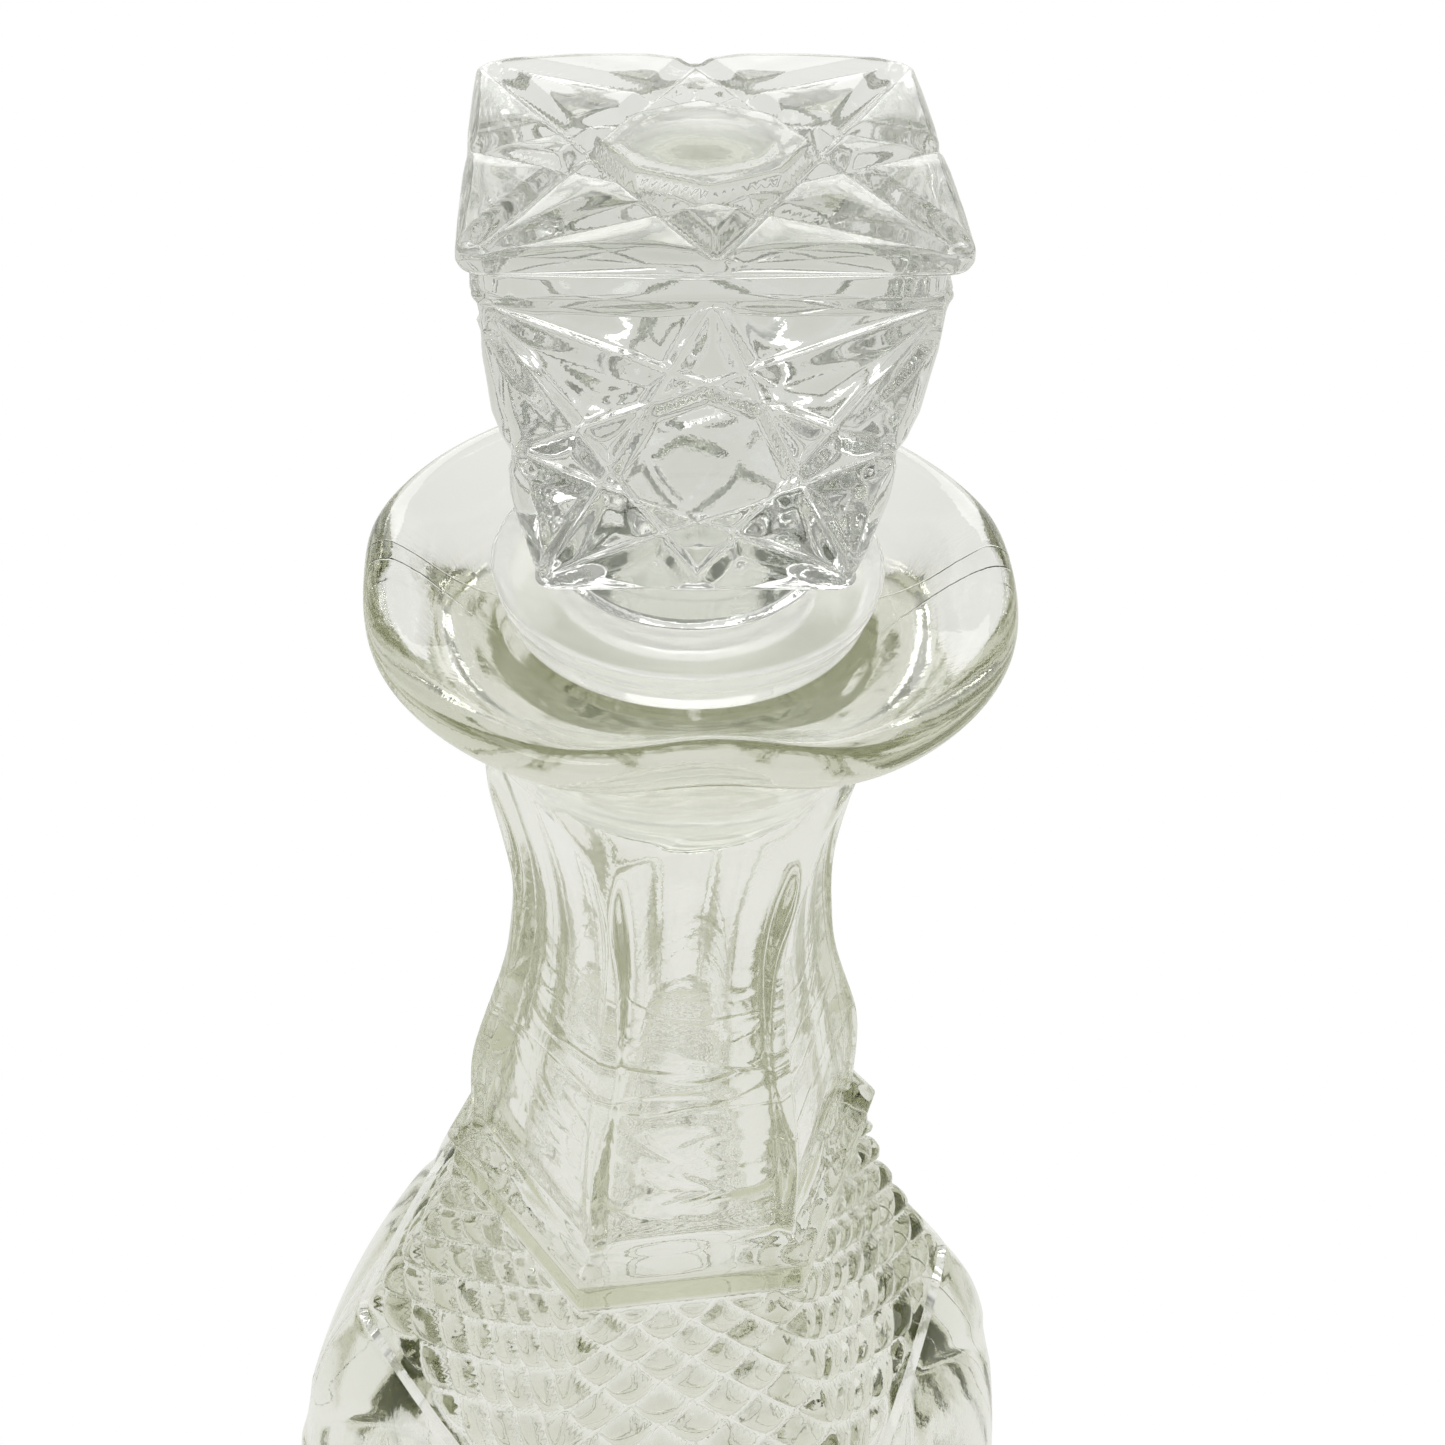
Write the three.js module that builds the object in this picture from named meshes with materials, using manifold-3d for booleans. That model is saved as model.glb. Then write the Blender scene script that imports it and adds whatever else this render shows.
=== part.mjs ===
// Pressed glass decanter: a six-sided bottle, a square star-cut stopper and a soft plastic seal.
// Millimetres, +Z up, origin at the centre of the foot. The side numbered 0 faces -Y.
import * as THREE from 'three';
import { mergeVertices } from 'three/addons/utils/BufferGeometryUtils.js';
import Module from 'manifold-3d';

const wasm = await Module();
wasm.setup();

// ---------------------------------------------------------------- driving sizes

const REST_GAP = 0.3; // room left between two pieces that rest on each other

// bottle, round the axis
const SIDES = 6;
const COLUMNS_PER_SIDE = 8;
const NECK_ROWS = 12;
const CAVITY_ROWS = 18;

// foot
const FOOT_RADIUS = 42;
const FOOT_RING_WIDTH = 5;
const FOOT_PUSH_UP = 2.5;
const FOOT_ROUNDING = 3;
const FOOT_SPREAD = 1; // how far the foot's rounding reaches outside its ring

// body
const BELLY_RADIUS = 70.5;
const BELLY_HEIGHT = 84;
const SHOULDER_TOP_RADIUS = 36.5;
const SHOULDER_RISE = 81.4; // from the widest place up to the top of the lattice
const LATTICE_HALF_ROW = 3.9;
const LATTICE_HALF_ROWS = 10;
const LATTICE_GROOVE = 1.1;
const GARLAND_DROP = 2.3; // plain ring between the lattice and the garlands
const GARLAND_STEPS = 10;
const GARLAND_CURVE = 0.87; // drop of the first step; the nth step lies n * n times as low
const GARLAND_START = 2; // columns from the middle of a side to where a garland leaves the ring
const GARLAND_GROOVE = 2.2;
const FLATNESS = 0.9; // 1 makes the shoulder a true hexagon, 0 makes it round
const FLATNESS_FROM = 20;
const FLATNESS_TO = 140;

// ledge under the neck, measured to the middle of a side
const LEDGE_FLAT = 30.9;
const LEDGE_RISE = 8.2; // from the top of the lattice
const LEDGE_NECKING = 1.0;
const LEDGE_ROUNDING = 1.2;

// neck
const LEDGE_STEP = 3.1; // from the edge of the ledge up to the foot of the panels
const PANEL_BOTTOM_FLAT = 27.3;
const PANEL_RISE = 55.9; // from the foot of the panels up to the waist
const WAIST_FLAT = 20.8;
const ARCH_RISE = 28.4; // from the waist up to where the arches of the panels end
const ARCH_START = 0.8; // how far the panels have come out at the spring of their arches
const NECK_TOP_RADIUS = 26.8;
const NECK_TOP_SWELL = 1.8; // how much narrower the round neck is at the spring of the arches
const EDGE_ROUNDING = 0.985; // share of a sharp corner that stays on a rounded one

// lip
const LIP_FLARE_RISE = 24.8; // from the top of the arches up to the crest
const LIP_RADIUS = 42;
const LIP_TUBE = 2.8;
const LIP_LOBES = 4;
const LIP_TURN = THREE.MathUtils.degToRad(-5);
const LIP_DIP_HALF_WIDTH = THREE.MathUtils.degToRad(17);
const LIP_RISE = 2.4;
const LIP_PINCH = 1.5;
const LIP_FLARE_OUT = 1.5; // pull on the flare's curve, outwards from the neck
const LIP_FLARE_HANG = 6.7; // pull on the flare's curve, down from the underside of the rim
const LIP_DISH_SAG = 2.6; // pull on the dish's curve, up from the seat
const SEAT_DROP = 6.1; // from the crest of the lip down to the seat of the seal

// bore and cavity
const BORE_RADIUS = 16.2;
const BORE_CHAMFER = 1;
const WAIST_BORE_RADIUS = 15;
const WALL = 6.3;
const BELLY_EXTRA_WALL = 4; // more glass behind the garlands
const BASE_THICKNESS = 12;
const HEEL_RISE = 13; // height of the round between the cavity's floor and its wall
const HEEL_SPREAD = 4; // how much wider the cavity is there than the foot
const HEEL_PULL = 6;

// seal
const FLANGE_TOP_RADIUS = 24.7;
const FLANGE_BOTTOM_RADIUS = 23;
const FLANGE_THICKNESS = 6.6;
const FLANGE_ROUNDING = 0.7;
const FLANGE_SEAT_WIDTH = 1.2; // how much wider the seat in the lip is than the flange
const SLEEVE_LENGTH = 24;
const SLEEVE_WALL = 1.8;
const FIN_COUNT = 4;
const FIN_REACH = 0.8;
const FIN_WIDTH = 1.6;
const FIN_BACK_WIDTH = 0.4;

// stopper
const PEG_LENGTH = 34;
const PEG_ROUNDING = 2.5;
const COLLAR_RADIUS = 17;
const COLLAR_HEIGHT = 7.5;
const COLLAR_ROUNDING = 0.8;
const COLLAR_WAIST = 1.2;
const BLOCK_TOP_WIDTH = 51;
const BLOCK_BOTTOM_WIDTH = 37.2;
const BLOCK_HEIGHT = 45.6;
const BLOCK_CORNER = 3.2;
const BLOCK_FOOT_BEVEL = 1;
const RIM_HEIGHT = 3.2;
const RIM_ROUNDING = 1.4;
const RIM_UNDERSIDE = 0.6;
const BAND_HEIGHT = 3.6;
const BAND_RECESS = 1.1;
const STAR_GROOVE_DEPTH = 1.7;
const STAR_GROOVE_WIDTH = 3.6;
const STOPPER_TWIST = THREE.MathUtils.degToRad(-7);

// ---------------------------------------------------------------- sizes that follow

const COLUMNS = SIDES * COLUMNS_PER_SIDE;
const HALF_SIDE = COLUMNS_PER_SIDE / 2;
const SIDE_ANGLE = (2 * Math.PI) / SIDES;
const CORNER_COSINE = Math.cos(SIDE_ANGLE / 2);
const LATTICE_TOP_HEIGHT = BELLY_HEIGHT + SHOULDER_RISE;
const LATTICE_BOTTOM_HEIGHT = LATTICE_TOP_HEIGHT - LATTICE_HALF_ROW * LATTICE_HALF_ROWS;
const GARLAND_TOP_HEIGHT = LATTICE_BOTTOM_HEIGHT - GARLAND_DROP;
const LEDGE_HEIGHT = LATTICE_TOP_HEIGHT + LEDGE_RISE;
const PANEL_BOTTOM_HEIGHT = LEDGE_HEIGHT + LEDGE_STEP;
const WAIST_HEIGHT = PANEL_BOTTOM_HEIGHT + PANEL_RISE;
const ARCH_TOP_HEIGHT = WAIST_HEIGHT + ARCH_RISE;
const LIP_CREST_HEIGHT = ARCH_TOP_HEIGHT + LIP_FLARE_RISE;
const SEAT_RADIUS = FLANGE_BOTTOM_RADIUS + FLANGE_SEAT_WIDTH;
const SEAT_HEIGHT = LIP_CREST_HEIGHT - SEAT_DROP;
const FLANGE_BOTTOM_HEIGHT = SEAT_HEIGHT + REST_GAP;
const FLANGE_TOP_HEIGHT = FLANGE_BOTTOM_HEIGHT + FLANGE_THICKNESS;
const FIN_RADIUS = BORE_RADIUS - REST_GAP;
const SLEEVE_RADIUS = FIN_RADIUS - FIN_REACH;
const SLEEVE_BORE_RADIUS = SLEEVE_RADIUS - SLEEVE_WALL;
const PEG_RADIUS = SLEEVE_BORE_RADIUS - REST_GAP;
const COLLAR_BOTTOM_HEIGHT = FLANGE_TOP_HEIGHT + REST_GAP;
const BLOCK_BOTTOM_HEIGHT = COLLAR_BOTTOM_HEIGHT + COLLAR_HEIGHT;
const BLOCK_TOP_HEIGHT = BLOCK_BOTTOM_HEIGHT + BLOCK_HEIGHT;
const SIDE_STAR_BOTTOM_HEIGHT = BLOCK_BOTTOM_HEIGHT + BLOCK_FOOT_BEVEL;
const SIDE_STAR_TOP_HEIGHT = BLOCK_TOP_HEIGHT - RIM_HEIGHT - BAND_HEIGHT;
const SIDE_STAR_INSET = BLOCK_CORNER * 0.3;

// ---------------------------------------------------------------- helpers

const { lerp, smoothstep } = THREE.MathUtils;

/** A smooth curve through [height, value] pairs, given from the lowest to the highest. */
function curveThrough(...pairs) {
  const heights = pairs.map((pair) => pair[0]);
  const values = pairs.map((pair) => pair[1]);
  const curve = new THREE.CubicInterpolant(heights, values, 1);
  return (height) => curve.evaluate(height)[0];
}

/** Distance from an angle to the nearest of evenly spaced directions. */
function offStep(angle, step) {
  return angle - step * Math.round(angle / step);
}

/** The angle of a column of the bottle's surface; columns are evenly spaced across a flat side. */
function columnAngle(column) {
  const side = Math.round(column / COLUMNS_PER_SIDE);
  const across = (column - side * COLUMNS_PER_SIDE) / HALF_SIDE;
  return side * SIDE_ANGLE + Math.atan(across * Math.tan(SIDE_ANGLE / 2));
}

/** Share of the corner radius that a flat side has at an angle: 1 at a corner. */
function flatSide(angle) {
  return CORNER_COSINE / Math.cos(offStep(angle, SIDE_ANGLE));
}

/** A closed solid from a lathe whose points are moved by place(column, row, point). */
function shapedLathe(profile, columns, place, sinks) {
  const geometry = new THREE.LatheGeometry(profile, columns);
  const position = geometry.attributes.position;
  const rows = profile.length;
  const point = new THREE.Vector3();
  for (let column = 0; column <= columns; column += 1) {
    for (let row = 0; row < rows; row += 1) {
      place(column % columns, row, point);
      position.setXYZ(column * rows + row, point.x, point.y, point.z);
    }
  }
  const index = [];
  const onAxis = (row) => profile[row].x === 0;
  for (let column = 0; column < columns; column += 1) {
    for (let row = 0; row < rows - 1; row += 1) {
      const a = column * rows + row;
      const b = a + rows;
      const c = b + 1;
      const d = a + 1;
      if (onAxis(row)) {
        index.push(a, c, d);
      } else if (onAxis(row + 1)) {
        index.push(a, b, c);
      } else if (sinks(column, row) + sinks(column + 1, row + 1)
        > sinks(column + 1, row) + sinks(column, row + 1)) {
        index.push(a, b, c, a, c, d);
      } else {
        index.push(a, b, d, b, c, d);
      }
    }
  }
  geometry.setIndex(index);
  return weld(geometry);
}

/** The same surface with only positions, and with its shared points merged. */
function weld(geometry) {
  geometry.deleteAttribute('normal');
  geometry.deleteAttribute('uv');
  return mergeVertices(geometry, 1e-4);
}

/** A manifold solid from a closed geometry. */
function solidOf(geometry) {
  const welded = weld(geometry);
  const vertProperties = new Float32Array(welded.attributes.position.array);
  const triVerts = new Uint32Array(welded.index.array);
  return new wasm.Manifold(new wasm.Mesh({ numProp: 3, vertProperties, triVerts }));
}

/** A geometry from a manifold solid. */
function geometryOf(solid) {
  const mesh = solid.getMesh();
  const geometry = new THREE.BufferGeometry();
  geometry.setAttribute('position', new THREE.BufferAttribute(mesh.vertProperties, 3));
  geometry.setIndex(new THREE.BufferAttribute(mesh.triVerts, 1));
  return geometry;
}

/** A round solid about Z from [radius, height] pairs. */
function turned(pairs, segments = COLUMNS) {
  const profile = pairs.map((pair) => new THREE.Vector2(pair[0], pair[1]));
  return new THREE.LatheGeometry(profile, segments).rotateX(Math.PI / 2);
}

// ---------------------------------------------------------------- bottle

/** A height part of the way up from the widest place of the body to its lattice. */
const aboveBelly = (share) => lerp(BELLY_HEIGHT, LATTICE_BOTTOM_HEIGHT, share);
/** A height part of the way up the lattice. */
const upLattice = (share) => lerp(LATTICE_BOTTOM_HEIGHT, LATTICE_TOP_HEIGHT, share);
/** A height part of the way up the neck's panels, below the waist. */
const upPanel = (share) => lerp(PANEL_BOTTOM_HEIGHT, WAIST_HEIGHT, share);
/** A height part of the way up the arches, above the waist. */
const upArch = (share) => lerp(WAIST_HEIGHT, ARCH_TOP_HEIGHT, share);

const [LATTICE_THIRD, LATTICE_MOST] = [0.48, 0.74];
const [PANEL_QUARTER, PANEL_HALF, PANEL_MOST] = [0.27, 0.52, 0.76];
const [ARCH_SPRING, ARCH_SHOULDER] = [0.3, 0.61];

const bodyCorner = curveThrough(
  [FOOT_ROUNDING, FOOT_RADIUS + FOOT_SPREAD],
  [BELLY_HEIGHT * 0.25, lerp(FOOT_RADIUS, BELLY_RADIUS, 0.43)],
  [BELLY_HEIGHT * 0.56, lerp(FOOT_RADIUS, BELLY_RADIUS, 0.83)],
  [BELLY_HEIGHT, BELLY_RADIUS],
  [aboveBelly(0.6), lerp(SHOULDER_TOP_RADIUS, BELLY_RADIUS, 0.8)],
  [LATTICE_BOTTOM_HEIGHT, lerp(SHOULDER_TOP_RADIUS, BELLY_RADIUS, 0.5)],
  [upLattice(LATTICE_THIRD), lerp(SHOULDER_TOP_RADIUS, BELLY_RADIUS, 0.21)],
  [upLattice(LATTICE_MOST), lerp(SHOULDER_TOP_RADIUS, BELLY_RADIUS, 0.08)],
  [LATTICE_TOP_HEIGHT, SHOULDER_TOP_RADIUS],
);

const panelFlat = curveThrough(
  [PANEL_BOTTOM_HEIGHT, PANEL_BOTTOM_FLAT],
  [upPanel(PANEL_QUARTER), lerp(WAIST_FLAT, PANEL_BOTTOM_FLAT, 0.92)],
  [upPanel(PANEL_HALF), lerp(WAIST_FLAT, PANEL_BOTTOM_FLAT, 0.58)],
  [upPanel(PANEL_MOST), lerp(WAIST_FLAT, PANEL_BOTTOM_FLAT, 0.18)],
  [WAIST_HEIGHT, WAIST_FLAT],
  [upArch(ARCH_SPRING), WAIST_FLAT + ARCH_START],
  [upArch(ARCH_SHOULDER), lerp(WAIST_FLAT, NECK_TOP_RADIUS, 0.45)],
  [ARCH_TOP_HEIGHT, NECK_TOP_RADIUS],
);

const neckRound = curveThrough(
  [PANEL_BOTTOM_HEIGHT, (PANEL_BOTTOM_FLAT / CORNER_COSINE) * EDGE_ROUNDING],
  [WAIST_HEIGHT, (WAIST_FLAT / CORNER_COSINE) * EDGE_ROUNDING],
  [upArch(ARCH_SPRING), NECK_TOP_RADIUS - NECK_TOP_SWELL],
  [upArch(ARCH_SHOULDER), NECK_TOP_RADIUS - NECK_TOP_SWELL / 4],
  [ARCH_TOP_HEIGHT, NECK_TOP_RADIUS],
);

/** How flat the six sides of the body are at a height. */
function flatness(height) {
  return FLATNESS * smoothstep(height, FLATNESS_FROM, FLATNESS_TO);
}

/** Radius of the six-sided body, before its pattern is pressed in. */
function bodyRadius(height, angle) {
  return bodyCorner(height) * lerp(1, flatSide(angle), flatness(height));
}

/** Radius of the body's wall on the inside, clear of the middles of its flat sides. */
function innerRadius(height) {
  return bodyRadius(height, 0) - WALL;
}

const cavity = curveThrough(
  [BASE_THICKNESS + HEEL_RISE, FOOT_RADIUS + HEEL_SPREAD],
  [BELLY_HEIGHT * 0.56, bodyCorner(BELLY_HEIGHT * 0.56) - WALL],
  [BELLY_HEIGHT, BELLY_RADIUS - BELLY_EXTRA_WALL - WALL],
  [LATTICE_BOTTOM_HEIGHT, innerRadius(LATTICE_BOTTOM_HEIGHT)],
  [upLattice(LATTICE_THIRD), innerRadius(upLattice(LATTICE_THIRD))],
  [LATTICE_TOP_HEIGHT, innerRadius(LATTICE_TOP_HEIGHT)],
  [PANEL_BOTTOM_HEIGHT, PANEL_BOTTOM_FLAT - WALL],
  [upPanel(PANEL_QUARTER), lerp(WAIST_BORE_RADIUS, PANEL_BOTTOM_FLAT - WALL, 0.5)],
  [upPanel(PANEL_HALF), lerp(WAIST_BORE_RADIUS, PANEL_BOTTOM_FLAT - WALL, 0.13)],
  [WAIST_HEIGHT, WAIST_BORE_RADIUS],
  [SEAT_HEIGHT - SLEEVE_LENGTH * 1.25, BORE_RADIUS],
  [SEAT_HEIGHT - SLEEVE_LENGTH / 2, BORE_RADIUS],
  [SEAT_HEIGHT - 2 * BORE_CHAMFER, BORE_RADIUS],
);

/** Radius of the round neck with its six flat, arch-topped panels. */
function neckRadius(height, angle) {
  const panel = (panelFlat(height) / CORNER_COSINE) * flatSide(angle);
  const limit = neckRound(height);
  return Math.min(panel, limit);
}

/** True where a groove of the small-diamond lattice crosses a grid point. */
function onLattice(column, step) {
  return (column + step) % 2 !== 0;
}

/** True where one of the crossing garland grooves passes a grid point. */
function onGarland(column, step) {
  const rising = (column - step + GARLAND_START) % COLUMNS_PER_SIDE;
  const falling = (column + step - GARLAND_START) % COLUMNS_PER_SIDE;
  return rising === 0 || falling === 0;
}

/** One ring of the bottle's surface: a height, a radius at each angle, and its groove depths. */
function ring(height, radius, sink = () => 0, lipShare = 0) {
  return { height, radius, sink, lipShare };
}

function footRings() {
  const plain = (radius) => () => radius;
  const rounding = [0.5, 1].map((share) => {
    const turn = (share * Math.PI) / 2;
    const radius = FOOT_RADIUS + FOOT_SPREAD * Math.sin(turn);
    return ring(FOOT_ROUNDING * (1 - Math.cos(turn)), plain(radius));
  });
  return [
    ring(FOOT_PUSH_UP, plain(0)),
    ring(FOOT_PUSH_UP, plain(FOOT_RADIUS - 2 * FOOT_RING_WIDTH)),
    ring(0, plain(FOOT_RADIUS - FOOT_RING_WIDTH)),
    ring(0, plain(FOOT_RADIUS)),
    ...rounding,
  ];
}

function bodyRings() {
  const rings = [];
  const radiusAt = (height) => (angle) => bodyRadius(height, angle);
  const garlandHeight = (step) => GARLAND_TOP_HEIGHT - GARLAND_CURVE * step * step;
  const lowest = garlandHeight(GARLAND_STEPS);
  for (const share of [0.4, 0.75]) {
    const height = lerp(FOOT_ROUNDING, lowest, share);
    rings.push(ring(height, radiusAt(height)));
  }
  for (let step = GARLAND_STEPS; step >= 0; step -= 1) {
    const height = garlandHeight(step);
    const edge = step === GARLAND_STEPS || step === 0;
    const sink = (column) => (edge || onGarland(column, step) ? GARLAND_GROOVE : 0);
    rings.push(ring(height, radiusAt(height), sink));
  }
  for (let step = LATTICE_HALF_ROWS; step >= 0; step -= 1) {
    const height = LATTICE_TOP_HEIGHT - LATTICE_HALF_ROW * step;
    const edge = step === LATTICE_HALF_ROWS || step === 0;
    const sink = (column) => (edge || onLattice(column, step) ? LATTICE_GROOVE : 0);
    rings.push(ring(height, radiusAt(height), sink));
  }
  return rings;
}

function ledgeRings() {
  const hexagon = (flat) => (angle) => {
    const corner = flat / CORNER_COSINE;
    return Math.min(corner * flatSide(angle), corner * EDGE_ROUNDING);
  };
  const band = (LATTICE_TOP_HEIGHT + LEDGE_HEIGHT) / 2;
  return [
    ring(band, hexagon(LEDGE_FLAT - LEDGE_NECKING / 2)),
    ring(LEDGE_HEIGHT - 2 * LEDGE_ROUNDING, hexagon(LEDGE_FLAT - LEDGE_NECKING)),
    ring(LEDGE_HEIGHT - LEDGE_ROUNDING, hexagon(LEDGE_FLAT)),
    ring(LEDGE_HEIGHT + LEDGE_ROUNDING / 3, hexagon(LEDGE_FLAT)),
    ring(LEDGE_HEIGHT + LEDGE_ROUNDING, hexagon(LEDGE_FLAT - LEDGE_ROUNDING)),
  ];
}

function neckRings() {
  const rings = [];
  for (let step = 0; step <= NECK_ROWS; step += 1) {
    const height = lerp(PANEL_BOTTOM_HEIGHT, ARCH_TOP_HEIGHT, step / NECK_ROWS);
    rings.push(ring(height, (angle) => neckRadius(height, angle)));
  }
  return rings;
}

function lipRings() {
  const centre = new THREE.Vector2(LIP_RADIUS - LIP_TUBE, LIP_CREST_HEIGHT - LIP_TUBE);
  const waveFrom = Math.max(SEAT_RADIUS + BORE_CHAMFER, NECK_TOP_RADIUS);
  const onRim = (degrees) => {
    const turn = THREE.MathUtils.degToRad(degrees);
    const arm = new THREE.Vector2(Math.cos(turn), Math.sin(turn));
    return arm.multiplyScalar(LIP_TUBE).add(centre);
  };
  const under = new THREE.QuadraticBezierCurve(
    new THREE.Vector2(NECK_TOP_RADIUS, ARCH_TOP_HEIGHT),
    new THREE.Vector2(NECK_TOP_RADIUS + LIP_FLARE_OUT, centre.y - LIP_TUBE - LIP_FLARE_HANG),
    onRim(-60),
  );
  const dish = new THREE.QuadraticBezierCurve(
    onRim(110),
    new THREE.Vector2(lerp(SEAT_RADIUS, centre.x, 0.45), SEAT_HEIGHT + LIP_DISH_SAG),
    new THREE.Vector2(SEAT_RADIUS, SEAT_HEIGHT),
  );
  const outline = [
    ...under.getPoints(5).slice(1),
    ...[-30, 0, 30, 60, 90].map(onRim),
    ...dish.getPoints(5),
    new THREE.Vector2(BORE_RADIUS + BORE_CHAMFER, SEAT_HEIGHT),
  ];
  return outline.map((point) => {
    const share = smoothstep(point.x, waveFrom, centre.x);
    return ring(point.y, () => point.x, () => 0, share);
  });
}

function cavityRings() {
  const plain = (radius) => () => radius;
  const rings = [];
  const top = SEAT_HEIGHT - 2 * BORE_CHAMFER;
  const bottom = BASE_THICKNESS + HEEL_RISE;
  for (let step = 0; step <= CAVITY_ROWS; step += 1) {
    const height = lerp(top, bottom, step / CAVITY_ROWS);
    rings.push(ring(height, plain(cavity(height))));
  }
  const heel = new THREE.QuadraticBezierCurve(
    new THREE.Vector2(cavity(bottom), bottom),
    new THREE.Vector2(cavity(bottom) - HEEL_PULL, BASE_THICKNESS),
    new THREE.Vector2(cavity(bottom) / 2, BASE_THICKNESS),
  );
  for (const point of heel.getPoints(4).slice(1)) {
    rings.push(ring(point.y, plain(point.x)));
  }
  rings.push(ring(BASE_THICKNESS, plain(0)));
  return rings;
}

/** How much of the lip's wave an angle gets: 1 in the middle of a dip. */
function lipDip(angle) {
  const away = offStep(angle - LIP_TURN, (2 * Math.PI) / LIP_LOBES);
  return Math.exp(-((away / LIP_DIP_HALF_WIDTH) ** 2));
}

function bottleGeometry() {
  const rings = [
    ...footRings(),
    ...bodyRings(),
    ...ledgeRings(),
    ...neckRings(),
    ...lipRings(),
    ...cavityRings(),
  ];
  const profile = rings.map((each) => new THREE.Vector2(each.radius(0), each.height));
  const place = (column, row, point) => {
    const each = rings[row];
    const angle = columnAngle(column);
    const wave = each.lipShare * lipDip(angle);
    const radius = each.radius(angle) - each.sink(column) - wave * LIP_PINCH;
    const height = each.height + wave * LIP_RISE;
    point.set(radius * Math.sin(angle), -radius * Math.cos(angle), height);
  };
  const sinks = (column, row) => rings[row].sink(column % COLUMNS);
  return shapedLathe(profile, COLUMNS, place, sinks);
}

// ---------------------------------------------------------------- seal

function sealGeometry() {
  const sleeveBottom = FLANGE_BOTTOM_HEIGHT - SLEEVE_LENGTH;
  const pitch = SLEEVE_LENGTH / (FIN_COUNT + 1);
  const outline = [
    [SLEEVE_BORE_RADIUS, FLANGE_TOP_HEIGHT],
    [SLEEVE_BORE_RADIUS, sleeveBottom],
    [SLEEVE_RADIUS, sleeveBottom],
  ];
  for (let fin = 1; fin <= FIN_COUNT; fin += 1) {
    const height = sleeveBottom + fin * pitch;
    outline.push([SLEEVE_RADIUS, height - FIN_WIDTH]);
    outline.push([FIN_RADIUS, height]);
    outline.push([SLEEVE_RADIUS, height + FIN_BACK_WIDTH]);
  }
  outline.push(
    [SLEEVE_RADIUS, FLANGE_BOTTOM_HEIGHT],
    [FLANGE_BOTTOM_RADIUS - FLANGE_ROUNDING, FLANGE_BOTTOM_HEIGHT],
    [FLANGE_BOTTOM_RADIUS, FLANGE_BOTTOM_HEIGHT + FLANGE_ROUNDING],
    [FLANGE_TOP_RADIUS, FLANGE_TOP_HEIGHT - FLANGE_ROUNDING],
    [FLANGE_TOP_RADIUS - FLANGE_ROUNDING, FLANGE_TOP_HEIGHT],
    [SLEEVE_BORE_RADIUS, FLANGE_TOP_HEIGHT],
  );
  return turned(outline);
}

// ---------------------------------------------------------------- stopper

/** The plain tapered block, with its overhanging rim and the recessed band under it. */
function blockSolid() {
  const half = BLOCK_TOP_WIDTH / 2;
  const corner = BLOCK_CORNER;
  const shape = new THREE.Shape();
  shape.moveTo(half, corner - half);
  for (let turn = 0; turn < 4; turn += 1) {
    const start = (turn * Math.PI) / 2;
    const centre = new THREE.Vector2(half - corner, half - corner);
    centre.rotateAround(new THREE.Vector2(0, 0), start);
    shape.absarc(centre.x, centre.y, corner, start, start + Math.PI / 2, false);
  }
  const levels = blockLevels();
  const steps = levels.length - 1;
  const options = { depth: steps, steps, bevelEnabled: false, curveSegments: 3 };
  const geometry = new THREE.ExtrudeGeometry(shape, options);
  const position = geometry.attributes.position;
  for (let index = 0; index < position.count; index += 1) {
    const level = levels[Math.round(position.getZ(index))];
    const scale = level.half / half;
    const x = position.getX(index) * scale;
    const y = position.getY(index) * scale;
    position.setXYZ(index, x, y, level.height);
  }
  return solidOf(geometry);
}

/** Half the block's plain width at a height, without its rim or band. */
function taperHalf(height) {
  const share = (height - BLOCK_BOTTOM_HEIGHT) / BLOCK_HEIGHT;
  return lerp(BLOCK_BOTTOM_WIDTH, BLOCK_TOP_WIDTH, share) / 2;
}

function blockLevels() {
  const top = BLOCK_TOP_HEIGHT;
  const rimBottom = top - RIM_HEIGHT;
  const half = BLOCK_TOP_WIDTH / 2;
  const starTop = SIDE_STAR_TOP_HEIGHT;
  const starBottom = SIDE_STAR_BOTTOM_HEIGHT;
  return [
    { height: BLOCK_BOTTOM_HEIGHT, half: taperHalf(BLOCK_BOTTOM_HEIGHT) - BLOCK_FOOT_BEVEL },
    { height: starBottom, half: taperHalf(starBottom) },
    { height: starTop, half: taperHalf(starTop) },
    { height: starTop + BAND_RECESS, half: taperHalf(starTop) - BAND_RECESS },
    { height: rimBottom, half: taperHalf(rimBottom) - BAND_RECESS },
    { height: rimBottom + RIM_UNDERSIDE, half: half - RIM_UNDERSIDE / 2 },
    { height: top - RIM_ROUNDING, half },
    { height: top - RIM_ROUNDING * 0.3, half: half - RIM_ROUNDING * 0.3 },
    { height: top, half: half - RIM_ROUNDING },
  ];
}

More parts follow.
